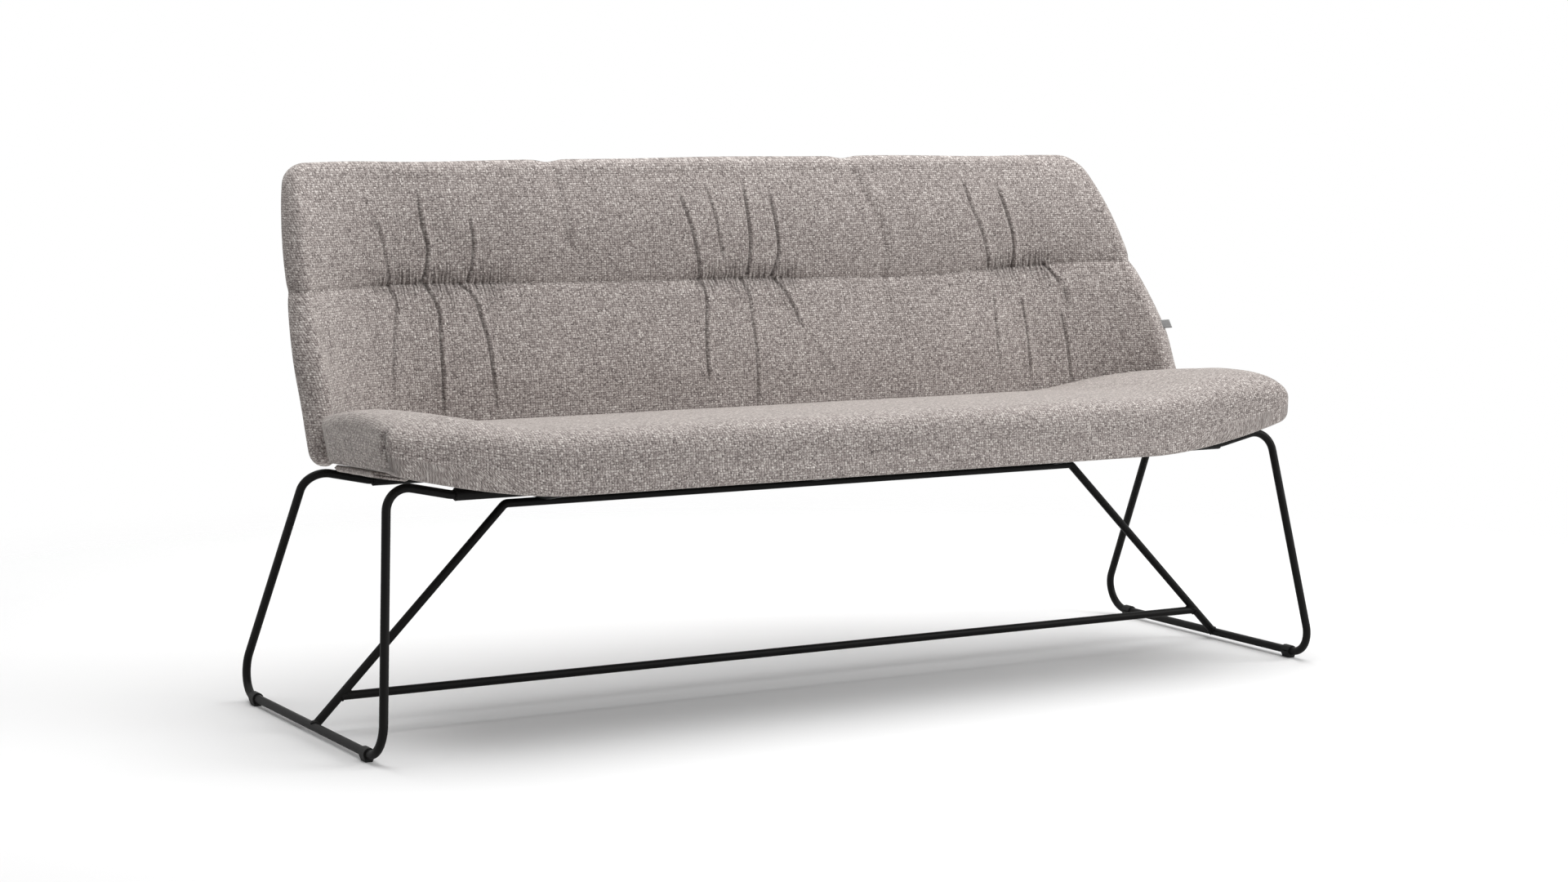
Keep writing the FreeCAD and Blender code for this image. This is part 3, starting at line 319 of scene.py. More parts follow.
def grey_ribbon():
    """Plain grey satin ribbon with a fine rib."""
    ribbon = Finish("plain_grey_ribbon", Sheen_Weight=0.25, Specular_IOR_Level=0.4)
    flat = ribbon.cloth_place()
    across, along, _ = ribbon.axes(flat)
    rib = ribbon.ripple(along, RIB_PITCH)
    thread = ribbon.ripple(across, THREAD_PITCH)
    slub = ribbon.noise(flat, 900, 2.0, 0.6, (1, 6, 1))
    colour = ribbon.shades(rib * 0.4 + slub * 0.6, (
        (0.25, (0.245, 0.245, 0.245)), (0.75, (0.335, 0.335, 0.335))))
    return ribbon.feed(Base_Color=colour, Roughness=0.48 + 0.2 * slub,
                       Normal=ribbon.relief(rib + thread * 0.4, 0.0002, 0.5))


weave = woven_upholstery()
coat = powder_coat()
plastic = moulded_plastic()
zinc = zinc_steel()
plywood = beech_plywood()
lining = underside_lining()
ribbon = grey_ribbon()

# The finish of each node of the frame, by the start of its name
FRAME_FINISH = {
    "sled_leg": coat, "seat_rail": coat, "truss_bar": coat, "stretcher_bar": coat, "cross_plate": coat,
    "seat_tabs": coat, "floor_glide": plastic, "seat_screws": zinc, "seat_inserts": zinc, "back_bracket": coat,
    "bracket_": zinc, "seat_board": plywood, "back_board": plywood,
}
for name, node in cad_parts.items():
    for start, finish in FRAME_FINISH.items():
        if name.startswith(start):
            for held in node.material_slots:
                held.material = finish


# Pieces


def mark(piece, name, amounts):
    """Stores how much of something, from 0 to 1, there is at each point."""
    layer = piece.data.attributes.new(name, "FLOAT", "POINT")
    layer.data.foreach_set("value", np.asarray(amounts, np.float32).ravel())


def put_in(name, mesh, replaces=()):
    """A piece of the bench from its mesh."""
    piece = bpy.data.objects.new(name, mesh)
    scene.collection.objects.link(piece)
    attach(piece, "root")
    if replaces:
        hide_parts(*replaces)
    return piece


def new_piece(name, points, faces, finish, flat, replaces):
    """A piece from points in millimetres; flat is each face corner's place on the uncut cloth, in metres."""
    mesh = bpy.data.meshes.new(name)
    mesh.from_pydata((np.asarray(points) * MM).tolist(), [], faces)
    mesh.materials.append(finish)
    mesh.polygons.foreach_set("use_smooth", [True] * len(mesh.polygons))
    layer = mesh.uv_layers.new(name="weave")
    layer.data.foreach_set("uv", np.asarray(flat, np.float32).ravel())
    mesh.update()
    return put_in(name, mesh, replaces)


def ease(share):
    """A soft step from 0 to 1."""
    share = np.clip(share, 0, 1)
    return share * share * (3 - 2 * share)


def between(x, start, end, run):
    """1 between a start and an end, with a soft step of a given run inside each."""
    return ease((x - start) / run) * ease((end - x) / run)


def bell(offset, width):
    return np.exp(-(offset / width) ** 2)


def lengths(points):
    """How far each point of a line lies along it; lines run along the last axis but one."""
    steps = np.linalg.norm(np.diff(points, axis=-2), axis=-1)
    return np.concatenate([np.zeros(steps.shape[:-1] + (1,)), np.cumsum(steps, -1)], -1)


# Cloth of the covers while they are blown up
CLOTH_RULES = {
    "quality": 5, "mass": 0.25, "tension_stiffness": 25, "compression_stiffness": 25, "shear_stiffness": 10,
    "bending_stiffness": 0.4, "use_pressure": True, "uniform_pressure_force": 4.0, "vertex_group_mass": "held",
}
BLOW_FRAMES = 20


def blown_up(points, faces, held, most):
    """How far each point of a closed cover moves when it is blown up as cloth, with the held points pinned."""
    mesh = bpy.data.meshes.new("toile")
    mesh.from_pydata((points * MM).tolist(), [], faces)
    toile = bpy.data.objects.new("toile", mesh)
    scene.collection.objects.link(toile)
    pins = toile.vertex_groups.new(name="held")
    pins.add([int(index) for index in np.flatnonzero(held)], 1.0, "REPLACE")
    cloth = toile.modifiers.new("cloth", "CLOTH")
    for name, value in CLOTH_RULES.items():
        setattr(cloth.settings, name, value)
    cloth.settings.effector_weights.gravity = 0
    cloth.collision_settings.use_collision = False
    for step in range(BLOW_FRAMES):
        scene.frame_set(step + 1)
    shown = toile.evaluated_get(bpy.context.evaluated_depsgraph_get()).to_mesh()
    after = np.zeros(len(points) * 3)
    shown.vertices.foreach_get("co", after)
    moved = after.reshape(-1, 3) / MM - points
    bpy.data.objects.remove(toile)
    bpy.data.meshes.remove(mesh)
    scene.frame_set(1)
    length = np.linalg.norm(moved, axis=1, keepdims=True)
    return moved * (most * np.tanh(length / most) / np.maximum(length, 1e-6))


def spread_over(moved, rows, columns, new_rows, new_columns):
    """A grid of moves, read at the rows and columns of a finer grid."""
    wide = np.apply_along_axis(lambda line: np.interp(new_columns, columns, line), 1, moved)
    return np.apply_along_axis(lambda line: np.interp(new_rows, rows, line), 0, wide)


def ring_faces(rows, around):
    """Quads between rings of points, one ring for each row."""
    row, place = np.meshgrid(np.arange(rows - 1), np.arange(around), indexing="ij")
    following = (place + 1) % around
    quads = np.stack([row * around + place, row * around + following,
                      (row + 1) * around + following, (row + 1) * around + place], -1)
    return quads.reshape(-1, 4)


def marks(*runs):
    """Places along a line: each run is a start, an end and a rough step."""
    found = []
    for start, end, step in runs:
        found.append(np.linspace(start, end, max(int(round(abs(end - start) / step)), 1) + 1))
    return np.unique(np.concatenate(found).round(5))


SPLINE_STEPS = 8


def fine_line(spots):
    """A line through a few spots, rounded by a spline and split finely."""
    spots = np.array(spots, float)
    ends = np.vstack([2 * spots[0] - spots[1], spots, 2 * spots[-1] - spots[-2]])
    share = np.linspace(0, 1, SPLINE_STEPS + 1)[:-1, None]
    line = []
    for a, b, c, d in zip(ends, ends[1:], ends[2:], ends[3:]):
        line.append(0.5 * (2 * b + (c - a) * share + (2 * a - 5 * b + 4 * c - d) * share ** 2
                           + (3 * b - a - 3 * c + d) * share ** 3))
    return np.vstack(line + [spots[-1:]])


def near_line(points, line):
    """From each point to the nearest place of a line: how far, the way from there, and that place's share."""
    best = np.full(len(points), np.inf)
    way = np.zeros(points.shape)
    share = np.zeros(len(points))
    for number, (start, end) in enumerate(zip(line, line[1:])):
        run = end - start
        along = np.clip((points - start) @ run / (run @ run), 0, 1)
        offset = points - start - along[:, None] * run
        gap = np.linalg.norm(offset, axis=1)
        closer = gap < best
        best[closer] = gap[closer]
        way[closer] = offset[closer]
        share[closer] = (number + along[closer]) / (len(line) - 1)
    return best, way, share


# Back: a thin wrap-round panel, drawn in by a cross seam and gathered at the middle of each section

TRUSS_Y = -40.1
BACK_LOW, BACK_SEAM, BACK_TOP = 416.0, 688.0, 893.0
BACK_HEIGHT = BACK_TOP - BACK_LOW
BACK_REACH = 220.8
RECLINE = math.radians(15.5)
# Half length at the foot, how much shorter the top is, and the height where that starts
BACK_HALF, BACK_TAPER, TAPER_FROM = 863.0, 65.0, 430.0
# A wing: where it starts, its run of columns, and how far forward its tip is at the foot and at the top
WING_START = 585.0
WING_COLUMNS = 300.0
WING_FOOT, WING_HEAD, WING_PACE = 177.0, 5.0, 1.3
BACK_END = WING_START + WING_COLUMNS


def back_line(z):
    """Reach of the back board behind the truss, and the radius and angle of a wing, at a height."""
    reach = BACK_REACH + (z - BACK_LOW) * math.tan(RECLINE)
    edge = BACK_HALF - BACK_TAPER * (np.maximum(z - TAPER_FROM, 0) / (BACK_TOP - TAPER_FROM)) ** 2
    climb = np.clip((z - BACK_LOW) / BACK_HEIGHT, 0, 1)
    forward = WING_HEAD + (WING_FOOT - WING_HEAD) * (1 - climb ** WING_PACE)
    angle = 2 * np.arctan2(forward, edge - WING_START)
    return reach, (edge - WING_START) / np.sin(angle), angle


def back_spot(column, z, turn, offset):
    """A point in front of the board's middle by an offset, after a turn of the wing."""
    reach, radius, _ = back_line(z)
    ring = radius - offset
    x = np.clip(column, -WING_START, WING_START) + np.sign(column) * ring * np.sin(turn)
    return np.stack([x, reach - radius + ring * np.cos(turn) + TRUSS_Y, z], -1)


def arc(share):
    """Height of a quarter circle of radius 1, a share of the way in."""
    return np.sqrt(1 - (1 - np.clip(share, 0, 1)) ** 2)


# Cross seam and the channels between the sections, as x and height
SEAM_LINE = ((-900, 685), (-820, 686), (-589, 690), (-400, 686), (-213, 683), (12, 684), (200, 679), (392, 677),
             (520, 684), (665, 691), (791, 698), (900, 699))
SECTION_LINES = (-318, 282)
SECTION_CHANNELS = (((-318, 900), (-317, 840), (-316, 790), (-317, 735)),
                    ((278, 900), (300, 835), (320, 785), (328, 740), (319, 640), (318, 580)))
SMOOTH_STEPS = 360
SMOOTH_REACH = 8


def seam_height(x):
    """Height of the cross seam, as a curve without corners."""
    places, heights = np.array(SEAM_LINE, float).T
    fine = np.linspace(places[0], places[-1], SMOOTH_STEPS + 1)
    line = np.interp(fine, places, heights)
    window = np.ones(2 * SMOOTH_REACH + 1) / (2 * SMOOTH_REACH + 1)
    for _ in range(3):
        line = np.convolve(np.pad(line, SMOOTH_REACH, "edge"), window, "valid")
    return np.interp(x, fine, line)


# Upper edge: dips between the sections, slow waves as size, length and start, and a rise toward the right
TOP_SPARE = 1.0
TOP_DIP, TOP_DIP_WIDTH = 4.6, 20.0
TOP_WAVES = ((1.0, 150, 0.0), (0.7, 61, 1.3))
TOP_RISE, TOP_RISE_FROM, TOP_RISE_RUN = 5.0, -620.0, 500.0


def top_height(x):
    dips = sum(TOP_DIP * bell(x - middle, TOP_DIP_WIDTH) for middle in SECTION_LINES)
    sway = sum(size * np.sin(x / length + start) for size, length, start in TOP_WAVES)
    return BACK_TOP - TOP_SPARE - dips + sway + TOP_RISE * ease((x - TOP_RISE_FROM) / TOP_RISE_RUN)


# Creases of the back, each from the seam outward: depth, then x and height of its points
CREASES = (
    (3.0, (-648, 690), (-648, 714), (-656, 776), (-669, 802)),
    (5.0, (-589, 692), (-581, 705), (-574, 748), (-580, 792), (-579, 856)),
    (4.2, (-505, 692), (-498, 711), (-491, 753), (-493, 806)),
    (4.6, (-58, 686), (-64, 745), (-73, 792), (-87, 846)),
    (3.4, (-8, 712), (-14, 744), (-19, 797), (-30, 858)),
    (5.2, (38, 690), (47, 743), (48, 790), (50, 862)),
    (5.2, (88, 686), (104, 728), (104, 779), (98, 842)),
    (4.4, (558, 690), (548, 752), (529, 807), (518, 862)),
    (5.0, (612, 690), (615, 744), (607, 788), (594, 852)),
    (3.2, (-648, 688), (-640, 654), (-652, 607), (-672, 500)),
    (5.2, (-582, 690), (-566, 640), (-571, 586), (-580, 440)),
    (4.8, (-520, 688), (-498, 662), (-490, 618), (-484, 572), (-482, 455)),
    (4.6, (-60, 684), (-54, 651), (-68, 576), (-74, 490)),
    (3.6, (25, 682), (32, 655), (31, 598), (27, 523), (20, 425)),
    (4.8, (92, 682), (112, 648), (122, 622), (130, 590)),
    (1.8, (136, 600), (152, 568), (172, 536), (194, 505)),
    (3.4, (556, 652), (552, 620), (548, 588), (540, 490)),
    (3.6, (612, 642), (613, 610), (613, 568), (610, 470)),
    (5.2, (676, 692), (695, 657), (703, 630), (706, 612)),
    (3.4, (683, 612), (685, 580), (687, 537), (688, 455)),
)
# Across a fold, in widths: places of the valley and its ridges, how wide each is on its left and on its right,
# and its height as a share of the depth
FOLD_PROFILE = ((0, 1, 1, -0.85), (1.7, 0.85, 2.1, 0.70), (-2.3, 1.6, 1.6, 0.12))
FOLD_ROOM = 7
# The depth that shades a fold fully, and how narrow the shade is
DARK_DEPTH, DARK_SHARPNESS = 3.4, 1.35
# A fold that starts this far from the seam fades in over a share of its length
LOOSE_FROM, LOOSE_TO, LOOSE_SHARE = 15, 150, 0.25


def fold_in(x, z, pressed, spots, depth, width, hold=0.84):
    """A pressed fold along a line: a narrow valley with a soft ridge on its right, fading along the line, with
    painted shade along its valley written into pressed.
    """
    line = fine_line(spots) if len(spots) > 2 else np.array(spots, float)
    points = np.stack([x, z], -1)
    room = FOLD_ROOM * width
    near = ((points > line.min(0) - room) & (points < line.max(0) + room)).all(-1)
    gap, way, share = near_line(points[near], line)
    place = gap * np.sign(way[:, 0]) / width
    fade = ease((1 - share) / (1 - hold))
    if LOOSE_FROM < abs(line[0, 1] - seam_height(line[0, 0])) < LOOSE_TO:
        fade = fade * ease(share / LOOSE_SHARE)
    change = np.zeros(x.shape)
    for at, left, right, height in FOLD_PROFILE:
        change[near] += depth * fade * height * bell(place - at, np.where(place < at, left, right))
    # Painted shade along the valley, stronger where the fold is deeper
    dark = np.minimum(depth / DARK_DEPTH, 1) * fade * bell(DARK_SHARPNESS * place, 1)
    pressed[near] = np.maximum(pressed[near], dark)
    return change


# Gathered runs of the seam: from, to, how close the small folds are
GATHERS = ((-695, -408, 12.5), (-92, 166, 11.0), (530, 712, 10.5))
GATHER_LENGTH, GATHER_LEAN, GATHER_DEPTH, GATHER_SPREAD = (16, 44), (-5, 5), (0.8, 1.9), (0.65, 1.35)
GATHER_OFF_SEAM = 1.5
GATHER_WIDTH, GATHER_HOLD = 2.5, 0.1
GATHER_END = 50
# Beside the seam: a wide hollow, painted shade along the stitches, and the stitched line with a roll below and
# above, each as height, more where the seam is drawn up, place over the seam and width
DRAWN_PAST, DRAWN_RUN = 40, 70
HOLLOW, HOLLOW_DRAWN, HOLLOW_REACH = 2.0, 2.6, 38
SHADE, SHADE_DRAWN, SHADE_WIDTH = 0.18, 0.16, 2.2
SEAM_PROFILE = ((-0.9, -1.0, 0, 4.0), (0, 1.4, -27, 14), (0, 1.2, 27, 14))
CHANNEL_DEPTH, CHANNEL_WIDTH = 3.4, 8.0
CREASE_SHARE, CREASE_WIDTH = 0.72, 2.7
BACK_UNEVEN = 0.7
PLEATED_END = 45


def back_dress(x, z, seam):
    """What the seam, the channels, the creases and the gathers do to the padded front, in millimetres, how much
    painted shade each point gets in the folds and along the seam, and how pleated the cloth is there."""
    drop = z - seam
    drawn = sum(between(x, start - DRAWN_PAST, end + DRAWN_PAST, DRAWN_RUN) for start, end, _ in GATHERS)
    change = -(HOLLOW + HOLLOW_DRAWN * drawn) * np.maximum(1 - np.abs(drop) / HOLLOW_REACH, 0) ** 2
    for height, more, over, width in SEAM_PROFILE:
        change += (height + more * drawn) * bell(drop - over, width)
    # Painted shade along the stitched line, more where the seam is drawn up
    pressed = (SHADE + SHADE_DRAWN * drawn) * bell(drop, SHADE_WIDTH)
    for spots in SECTION_CHANNELS:
        change += fold_in(x, z, np.zeros(x.shape), spots, CHANNEL_DEPTH, CHANNEL_WIDTH)
    for depth, *spots in CREASES:
        change += fold_in(x, z, pressed, spots, CREASE_SHARE * depth, CREASE_WIDTH)
    chance = np.random.default_rng(11)
    for start, end, pitch in GATHERS:
        place = start
        while place < end:
            edge = between(place, start, end, GATHER_END)
            for way in (1, -1):
                length = chance.uniform(*GATHER_LENGTH) * (0.6 + 0.4 * edge)
                lean = chance.uniform(*GATHER_LEAN)
                base = float(seam_height(place)) + way * GATHER_OFF_SEAM
                depth = chance.uniform(*GATHER_DEPTH) * (0.35 + 0.65 * edge)
                spots = (place, base), (place + lean, base + way * length)
                change += fold_in(x, z, pressed, spots, depth, GATHER_WIDTH, GATHER_HOLD)
            place += pitch * chance.uniform(*GATHER_SPREAD)
    change += BACK_UNEVEN * np.sin(x / 47 + z / 90) * np.sin(z / 38 + x / 160)
    reach = 25 + 8 * np.sin(x / 13.0) + 5 * np.sin(x / 5.1 + 1)
    pleated = sum(between(x, start, end, PLEATED_END) for start, end, _ in GATHERS)
    return change, pressed, pleated * bell(drop, reach)


# Thickness before and behind the board's middle, with the swell of each half, section and the rear
FRONT_DEPTH, HALF_SWELL, SECTION_SWELL = 27.3, 10.0, 4.0
REAR_DEPTH, REAR_SWELL = 12.6, 1.5
THINNEST = 0.04
# Half length of the middle section, then middle and half length of the sections beside it
MIDDLE_HALF, SIDE_MIDDLE, SIDE_HALF = 305.0, 445.0, 140.0
# Roundings of the upper and lower edges and of the corners, and the runs over which dressing dies away there
EDGE_ROUND = 22.0
BACK_CORNER = 34.0
DRESS_RUN, SHADE_RUN, PUFF_RUN = 26, 40, 30
DRESS_TURN = 0.93
# Free edge of a wing: steps round it, share of the thickness that is rounded, swell, and nip at the seam
EDGE_STEPS = 12
EDGE_SHARE = 0.35
EDGE_SWELL, EDGE_SWELL_FROM, EDGE_SWELL_RUN = 9.5, 490, 90
SEAM_NIP, SEAM_NIP_HEIGHT = 3.0, 11
# Sewn groove round the rear
GROOVE_DEPTH, GROOVE_IN, GROOVE_WIDTH, GROOVE_PAST = 1.3, 13, 1.9, 12


def back_shape(columns, levels, dressed, puff=None):
    """Rings of points round the back, one for each level: front, right edge, rear and left edge."""
    column, level = np.meshgrid(columns, levels)
    seam, top = seam_height(column), top_height(column)
    lower = level < 1
    share = np.where(lower, level, level - 1)
    z = np.where(lower, BACK_LOW + (seam - BACK_LOW) * share, seam + (top - seam) * share)
    near = np.minimum(z - BACK_LOW, top - z)
    inside = np.clip((np.abs(column) - WING_START) / WING_COLUMNS, 0, 1)
    crest = np.where(np.abs(column) < MIDDLE_HALF, 1 - (column / MIDDLE_HALF) ** 2,
                     1 - ((np.abs(column) - SIDE_MIDDLE) / SIDE_HALF) ** 2)
    front = FRONT_DEPTH + HALF_SWELL * np.sin(math.pi * share) ** 1.5 + SECTION_SWELL * np.maximum(crest, 0)
    rear = REAR_DEPTH + REAR_SWELL * np.sin(math.pi * np.clip((z - BACK_LOW) / BACK_HEIGHT, 0, 1))
    radius, angle = back_line(z)[1:]
    marked = None
    if dressed:
        x = back_spot(column, z, inside * angle * DRESS_TURN, front)[..., 0]
        change, pressed, pleated = back_dress(x, z, seam)
        front = front + change * ease(near / DRESS_RUN)
        # Painted shade of the folds and the seam, fading toward the edges, and how pleated the cloth is
        marked = np.minimum(pressed, 1) * ease(near / SHADE_RUN), pleated
    middle = (front - rear) / 2
    half = (front + rear) / 2 * np.maximum(arc(near / EDGE_ROUND), THINNEST)
    swell = EDGE_SWELL * np.sin(math.pi * share) ** 0.8 * ease((z - EDGE_SWELL_FROM) / EDGE_SWELL_RUN)
    drawn = BACK_CORNER * (1 - arc(near / BACK_CORNER)) + SEAM_NIP * bell(z - seam, SEAM_NIP_HEIGHT)
    tip = angle + (swell - drawn) / radius
    turn = tip - EDGE_SHARE * 2 * half / radius
    groove = 0
    if dressed:
        rim = np.minimum(near, turn * (1 - inside) * radius + GROOVE_PAST)
        groove = GROOVE_DEPTH * bell(rim - GROOVE_IN, GROOVE_WIDTH)
    front_face = back_spot(column, z, inside * turn, middle + half)
    rear_face = back_spot(column, z, inside * turn, middle - half + groove)
    if puff is not None:
        front_face = front_face + puff * ease(near / PUFF_RUN)[..., None]
    edges = []
    for end in (-1, 0):
        ring = []
        for step in range(1, EDGE_STEPS + 1):
            bend = math.pi * step / (EDGE_STEPS + 1)
            sweep = turn[:, end] + (tip - turn)[:, end] * math.sin(bend) ** 0.8
            offset = middle[:, end] + half[:, end] * math.cos(bend)
            ring.append(back_spot(column[:, end], z[:, end], sweep, offset))
        edges.append(np.stack(ring, 1))
    rings = np.concatenate([front_face, edges[0], rear_face[:, ::-1], edges[1][:, ::-1]], 1)
    along = np.clip(column, -WING_START, WING_START) + np.sign(column) * radius * inside * turn
    return rings, along, z, marked


def zipped_end(first, around, wide, flip):
    """Faces that close a ring of the back, from its front run to its rear run and round both edges."""
    rear = 2 * wide + EDGE_STEPS - 1
    half = EDGE_STEPS // 2
    right = [(place, rear - place) for place in range(wide)]
    right += [(wide + step, wide + EDGE_STEPS - 1 - step) for step in range(half)]
    left = [(0, rear)] + [(around - 1 - step, rear + 1 + step) for step in range(half)]
    faces = []
    for chain, turned in ((right, flip), (left, not flip)):
        for (a, b), (c, d) in zip(chain, chain[1:]):
            faces.append([first + spot for spot in ((b, d, c, a) if turned else (a, c, d, b))])
    return faces


def back_faces(rings, wide):
    """Quads between the rings of the back, and the faces that close the first and the last ring."""
    rows, around = rings.shape[:2]
    ends = zipped_end(0, around, wide, True) + zipped_end((rows - 1) * around, around, wide, False)
    return ring_faces(rows, around), ends


SEAM_RUN = 18.0


def back_levels(coarse):
    """Levels from the lower edge, 0, over the seam, 1, to the upper edge, 2."""
    count, step, close = (5, 16, 8) if coarse else (10, 5.9, 2.2)
    low_run, high_run = BACK_SEAM - BACK_LOW, BACK_TOP - BACK_SEAM
    bend = EDGE_ROUND * (1 - np.cos(np.linspace(0, math.pi / 2, count)))
    low = marks((EDGE_ROUND, low_run - SEAM_RUN, step), (low_run - SEAM_RUN, low_run, close))
    high = marks((0, SEAM_RUN, close), (SEAM_RUN, high_run - EDGE_ROUND, step))
    low = np.concatenate([bend, low]) / low_run
    high = np.concatenate([high, high_run - bend[::-1]]) / high_run
    return np.unique(np.concatenate([low, 1 + high]).round(6))


TOILE_STEP = 17
SEAM_LEVELS = 0.012
BACK_MOST = 4.0
BACK_PUFF_FROM, BACK_PUFF_RUN = 455, 70


def back_puff(columns, levels):
    """How far the front swells when the cover is blown up, at the points of the fine grid."""
    few, rows = marks((-BACK_END, BACK_END, TOILE_STEP)), back_levels(True)
    rings, _, z, _ = back_shape(few, rows, False)
    wide = len(few)
    quads, ends = back_faces(rings, wide)
    held = np.ones(rings.shape[:2], bool)
    held[:, 2:wide - 2] = False
    held[[0, 1, 2, -3, -2, -1]] = True
    held[np.abs(rows - 1) < SEAM_LEVELS] = True
    moved = blown_up(rings.reshape(-1, 3), quads.tolist() + ends, held.ravel(), BACK_MOST)
    moved = moved.reshape(rings.shape)[:, :wide] * ease((z - BACK_PUFF_FROM) / BACK_PUFF_RUN)[..., None]
    return spread_over(moved, rows, few, levels, columns)


def back_cloth(rings, along, z, quads, ends):
    """Cloth places of the back: one run over the front and round both edges, another over the rear."""
    around, wide = rings.shape[1], along.shape[1]
    rear_from = wide + EDGE_STEPS
    rise = z / math.cos(RECLINE)
    place = np.zeros(rings.shape[:2] + (2,))
    place[:, :wide, 0] = along
    place[..., 1] = np.concatenate([rise, np.repeat(rise[:, -1:], EDGE_STEPS, 1), rise[:, ::-1],
                                    np.repeat(rise[:, :1], EDGE_STEPS, 1)], 1)
    rear_run = place.copy()
    rear_run[:, rear_from:rear_from + wide, 0] = -along[:, ::-1]
    place[:, wide - 1:rear_from + 1, 0] = along[:, -1:] + lengths(rings[:, wide - 1:rear_from + 1])
    left = np.concatenate([rings[:, :1], rings[:, :-EDGE_STEPS - 2:-1]], 1)
    place[:, :-EDGE_STEPS - 2:-1, 0] = along[:, :1] - lengths(left)[:, 1:]
    start = quads[:, 0] % around
    is_rear = (start >= rear_from) & (start < rear_from + wide - 1)
    flat = np.where(is_rear[:, None, None], rear_run.reshape(-1, 2)[quads], place.reshape(-1, 2)[quads])
    end_flat = rings.reshape(-1, 3)[np.array(ends)][..., :2]
    return np.concatenate([flat, end_flat]) * MM


def make_back():
    columns = marks(
        (-BACK_END, -BACK_END + 36, 3), (-BACK_END + 36, -700, 8), (-700, -465, 2.3), (-465, -335, 10),
        (-335, -290, 6), (-290, -105, 10), (-105, 200, 2.3), (200, 290, 9), (290, 335, 6), (335, 505, 10),
        (505, 718, 2.3), (718, BACK_END - 36, 8), (BACK_END - 36, BACK_END, 3))
    levels = back_levels(False)
    puff = back_puff(columns, levels)
    rings, along, z, marked = back_shape(columns, levels, True, puff)
    quads, ends = back_faces(rings, len(columns))
    flat = back_cloth(rings, along, z, quads, ends)
    piece = new_piece("back_upholstery", rings.reshape(-1, 3), quads.tolist() + ends, weave, flat,
                      ("back_cover", "back_padding", "back_foam_lower", "back_foam_upper"))
    # fold carries painted shade in the folds and along the seam; gather carries the pleats, which get bumps and
    # painted shade
    for name, amounts in zip(("fold", "gather"), marked):
        spread = np.zeros(rings.shape[:2])
        spread[:, :len(columns)] = amounts
        mark(piece, name, spread)


# Seat: a thin pad on a moulded board, with a lip over the front rail and rising ends

# Rails, as reach behind the truss and height
FRONT_RAIL = (-202.0, 396.0)
REAR_RAIL = (128.0, 382.0)
RAIL_RADIUS = 10.0
SEAT_TILT = math.atan2(FRONT_RAIL[1] - REAR_RAIL[1], REAR_RAIL[0] - FRONT_RAIL[0])
SEAT_HALF = 860.0
# Board: its underside over the rails, where its ends start to rise, and how far
BOARD_BOTTOM, SEAT_RISE_FROM, BOARD_RISE = 3.4, 560.0, 31.0
# Foam of the back before the middle of its board, at the edges and halfway
FOAM_EDGE, FOAM_SWELL = 25.0, 10.0


def seat_at(x, v, w):
    """A point of the seat: v runs back from the front rail, w up from the tops of the rails."""
    y = FRONT_RAIL[0] + v * math.cos(SEAT_TILT) + (w + RAIL_RADIUS) * math.sin(SEAT_TILT) + TRUSS_Y
    z = FRONT_RAIL[1] - v * math.sin(SEAT_TILT) + (w + RAIL_RADIUS) * math.cos(SEAT_TILT)
    return np.stack(np.broadcast_arrays(x, y, z), -1).astype(float)


def seat_v(reach, w):
    """v of a place at a reach behind the truss."""
    return (reach - FRONT_RAIL[0] - (w + RAIL_RADIUS) * math.sin(SEAT_TILT)) / math.cos(SEAT_TILT)


def end_share(x):
    """How far into a rising end a place is, from 0 to 1."""
    return np.maximum(np.abs(x) - SEAT_RISE_FROM, 0) / (SEAT_HALF - SEAT_RISE_FROM)


def board_rise(x):
    return BOARD_RISE * end_share(x) ** 2


def foam_front(z):
    low = np.where(z < BACK_SEAM, BACK_LOW, BACK_SEAM)
    high = np.where(z < BACK_SEAM, BACK_SEAM, BACK_TOP)
    return FOAM_EDGE + FOAM_SWELL * np.sin(math.pi * (z - low) / (high - low))


# Rear of the pad: cover before the back's foam, board behind it, gaps to the back and to a wing's tip
COVER_FRONT = 6.3
BACK_BOARD = 10.0
BACK_GAP, TIP_GAP, TIP_RUN = 4.8, 8.0, 40.0
REAR_CORNER = 26.0


def seat_rear(x, w):
    """v of the pad's rear: it follows the front of the back, and draws in before a wing's tip."""
    z = float(seat_at(0, seat_v(REAR_RAIL[0], w), w)[2])
    thickness = foam_front(z) + BACK_BOARD
    reach, radius, angle = back_line(z)
    inner = radius - foam_front(z) - COVER_FRONT
    turn = angle - EDGE_SHARE * thickness / radius
    corner_x = WING_START + inner * math.sin(turn)
    before_tip = min(inner * math.cos(turn), (radius - thickness / 2) * math.cos(angle)) - TIP_GAP
    beside = max(min(abs(x), corner_x) - WING_START, 0)
    before_back = math.sqrt(inner ** 2 - beside ** 2) - BACK_GAP
    blend = ease((abs(x) - corner_x) / TIP_RUN + 1)
    drawn = REAR_CORNER * (1 - arc((SEAT_HALF - abs(x)) / REAR_CORNER))
    return seat_v(reach - radius + before_back + (before_tip - before_back) * blend - drawn, w)


def arc_run(start, corner, end, count, pull=1.42):
    """Points of a soft corner, from its start round to its end; more pull makes it squarer."""
    share = np.linspace(0, 1, count + 1)[:-1, None]
    a, b, c = (np.array(spot, float) for spot in (start, corner, end))
    mix = (1 - share) ** 2, 2 * share * (1 - share) * pull, share ** 2
    return (mix[0] * a + mix[1] * b + mix[2] * c) / sum(mix)


def straight_run(start, end, count, bulge=0.0):
    share = np.linspace(0, 1, count + 1)[:-1, None]
    a, b = np.array(start, float), np.array(end, float)
    way = b - a
    out = np.array([way[1], -way[0]]) / max(np.hypot(*way), 1e-6)
    return a + way * share - out * bulge * 4 * share * (1 - share)


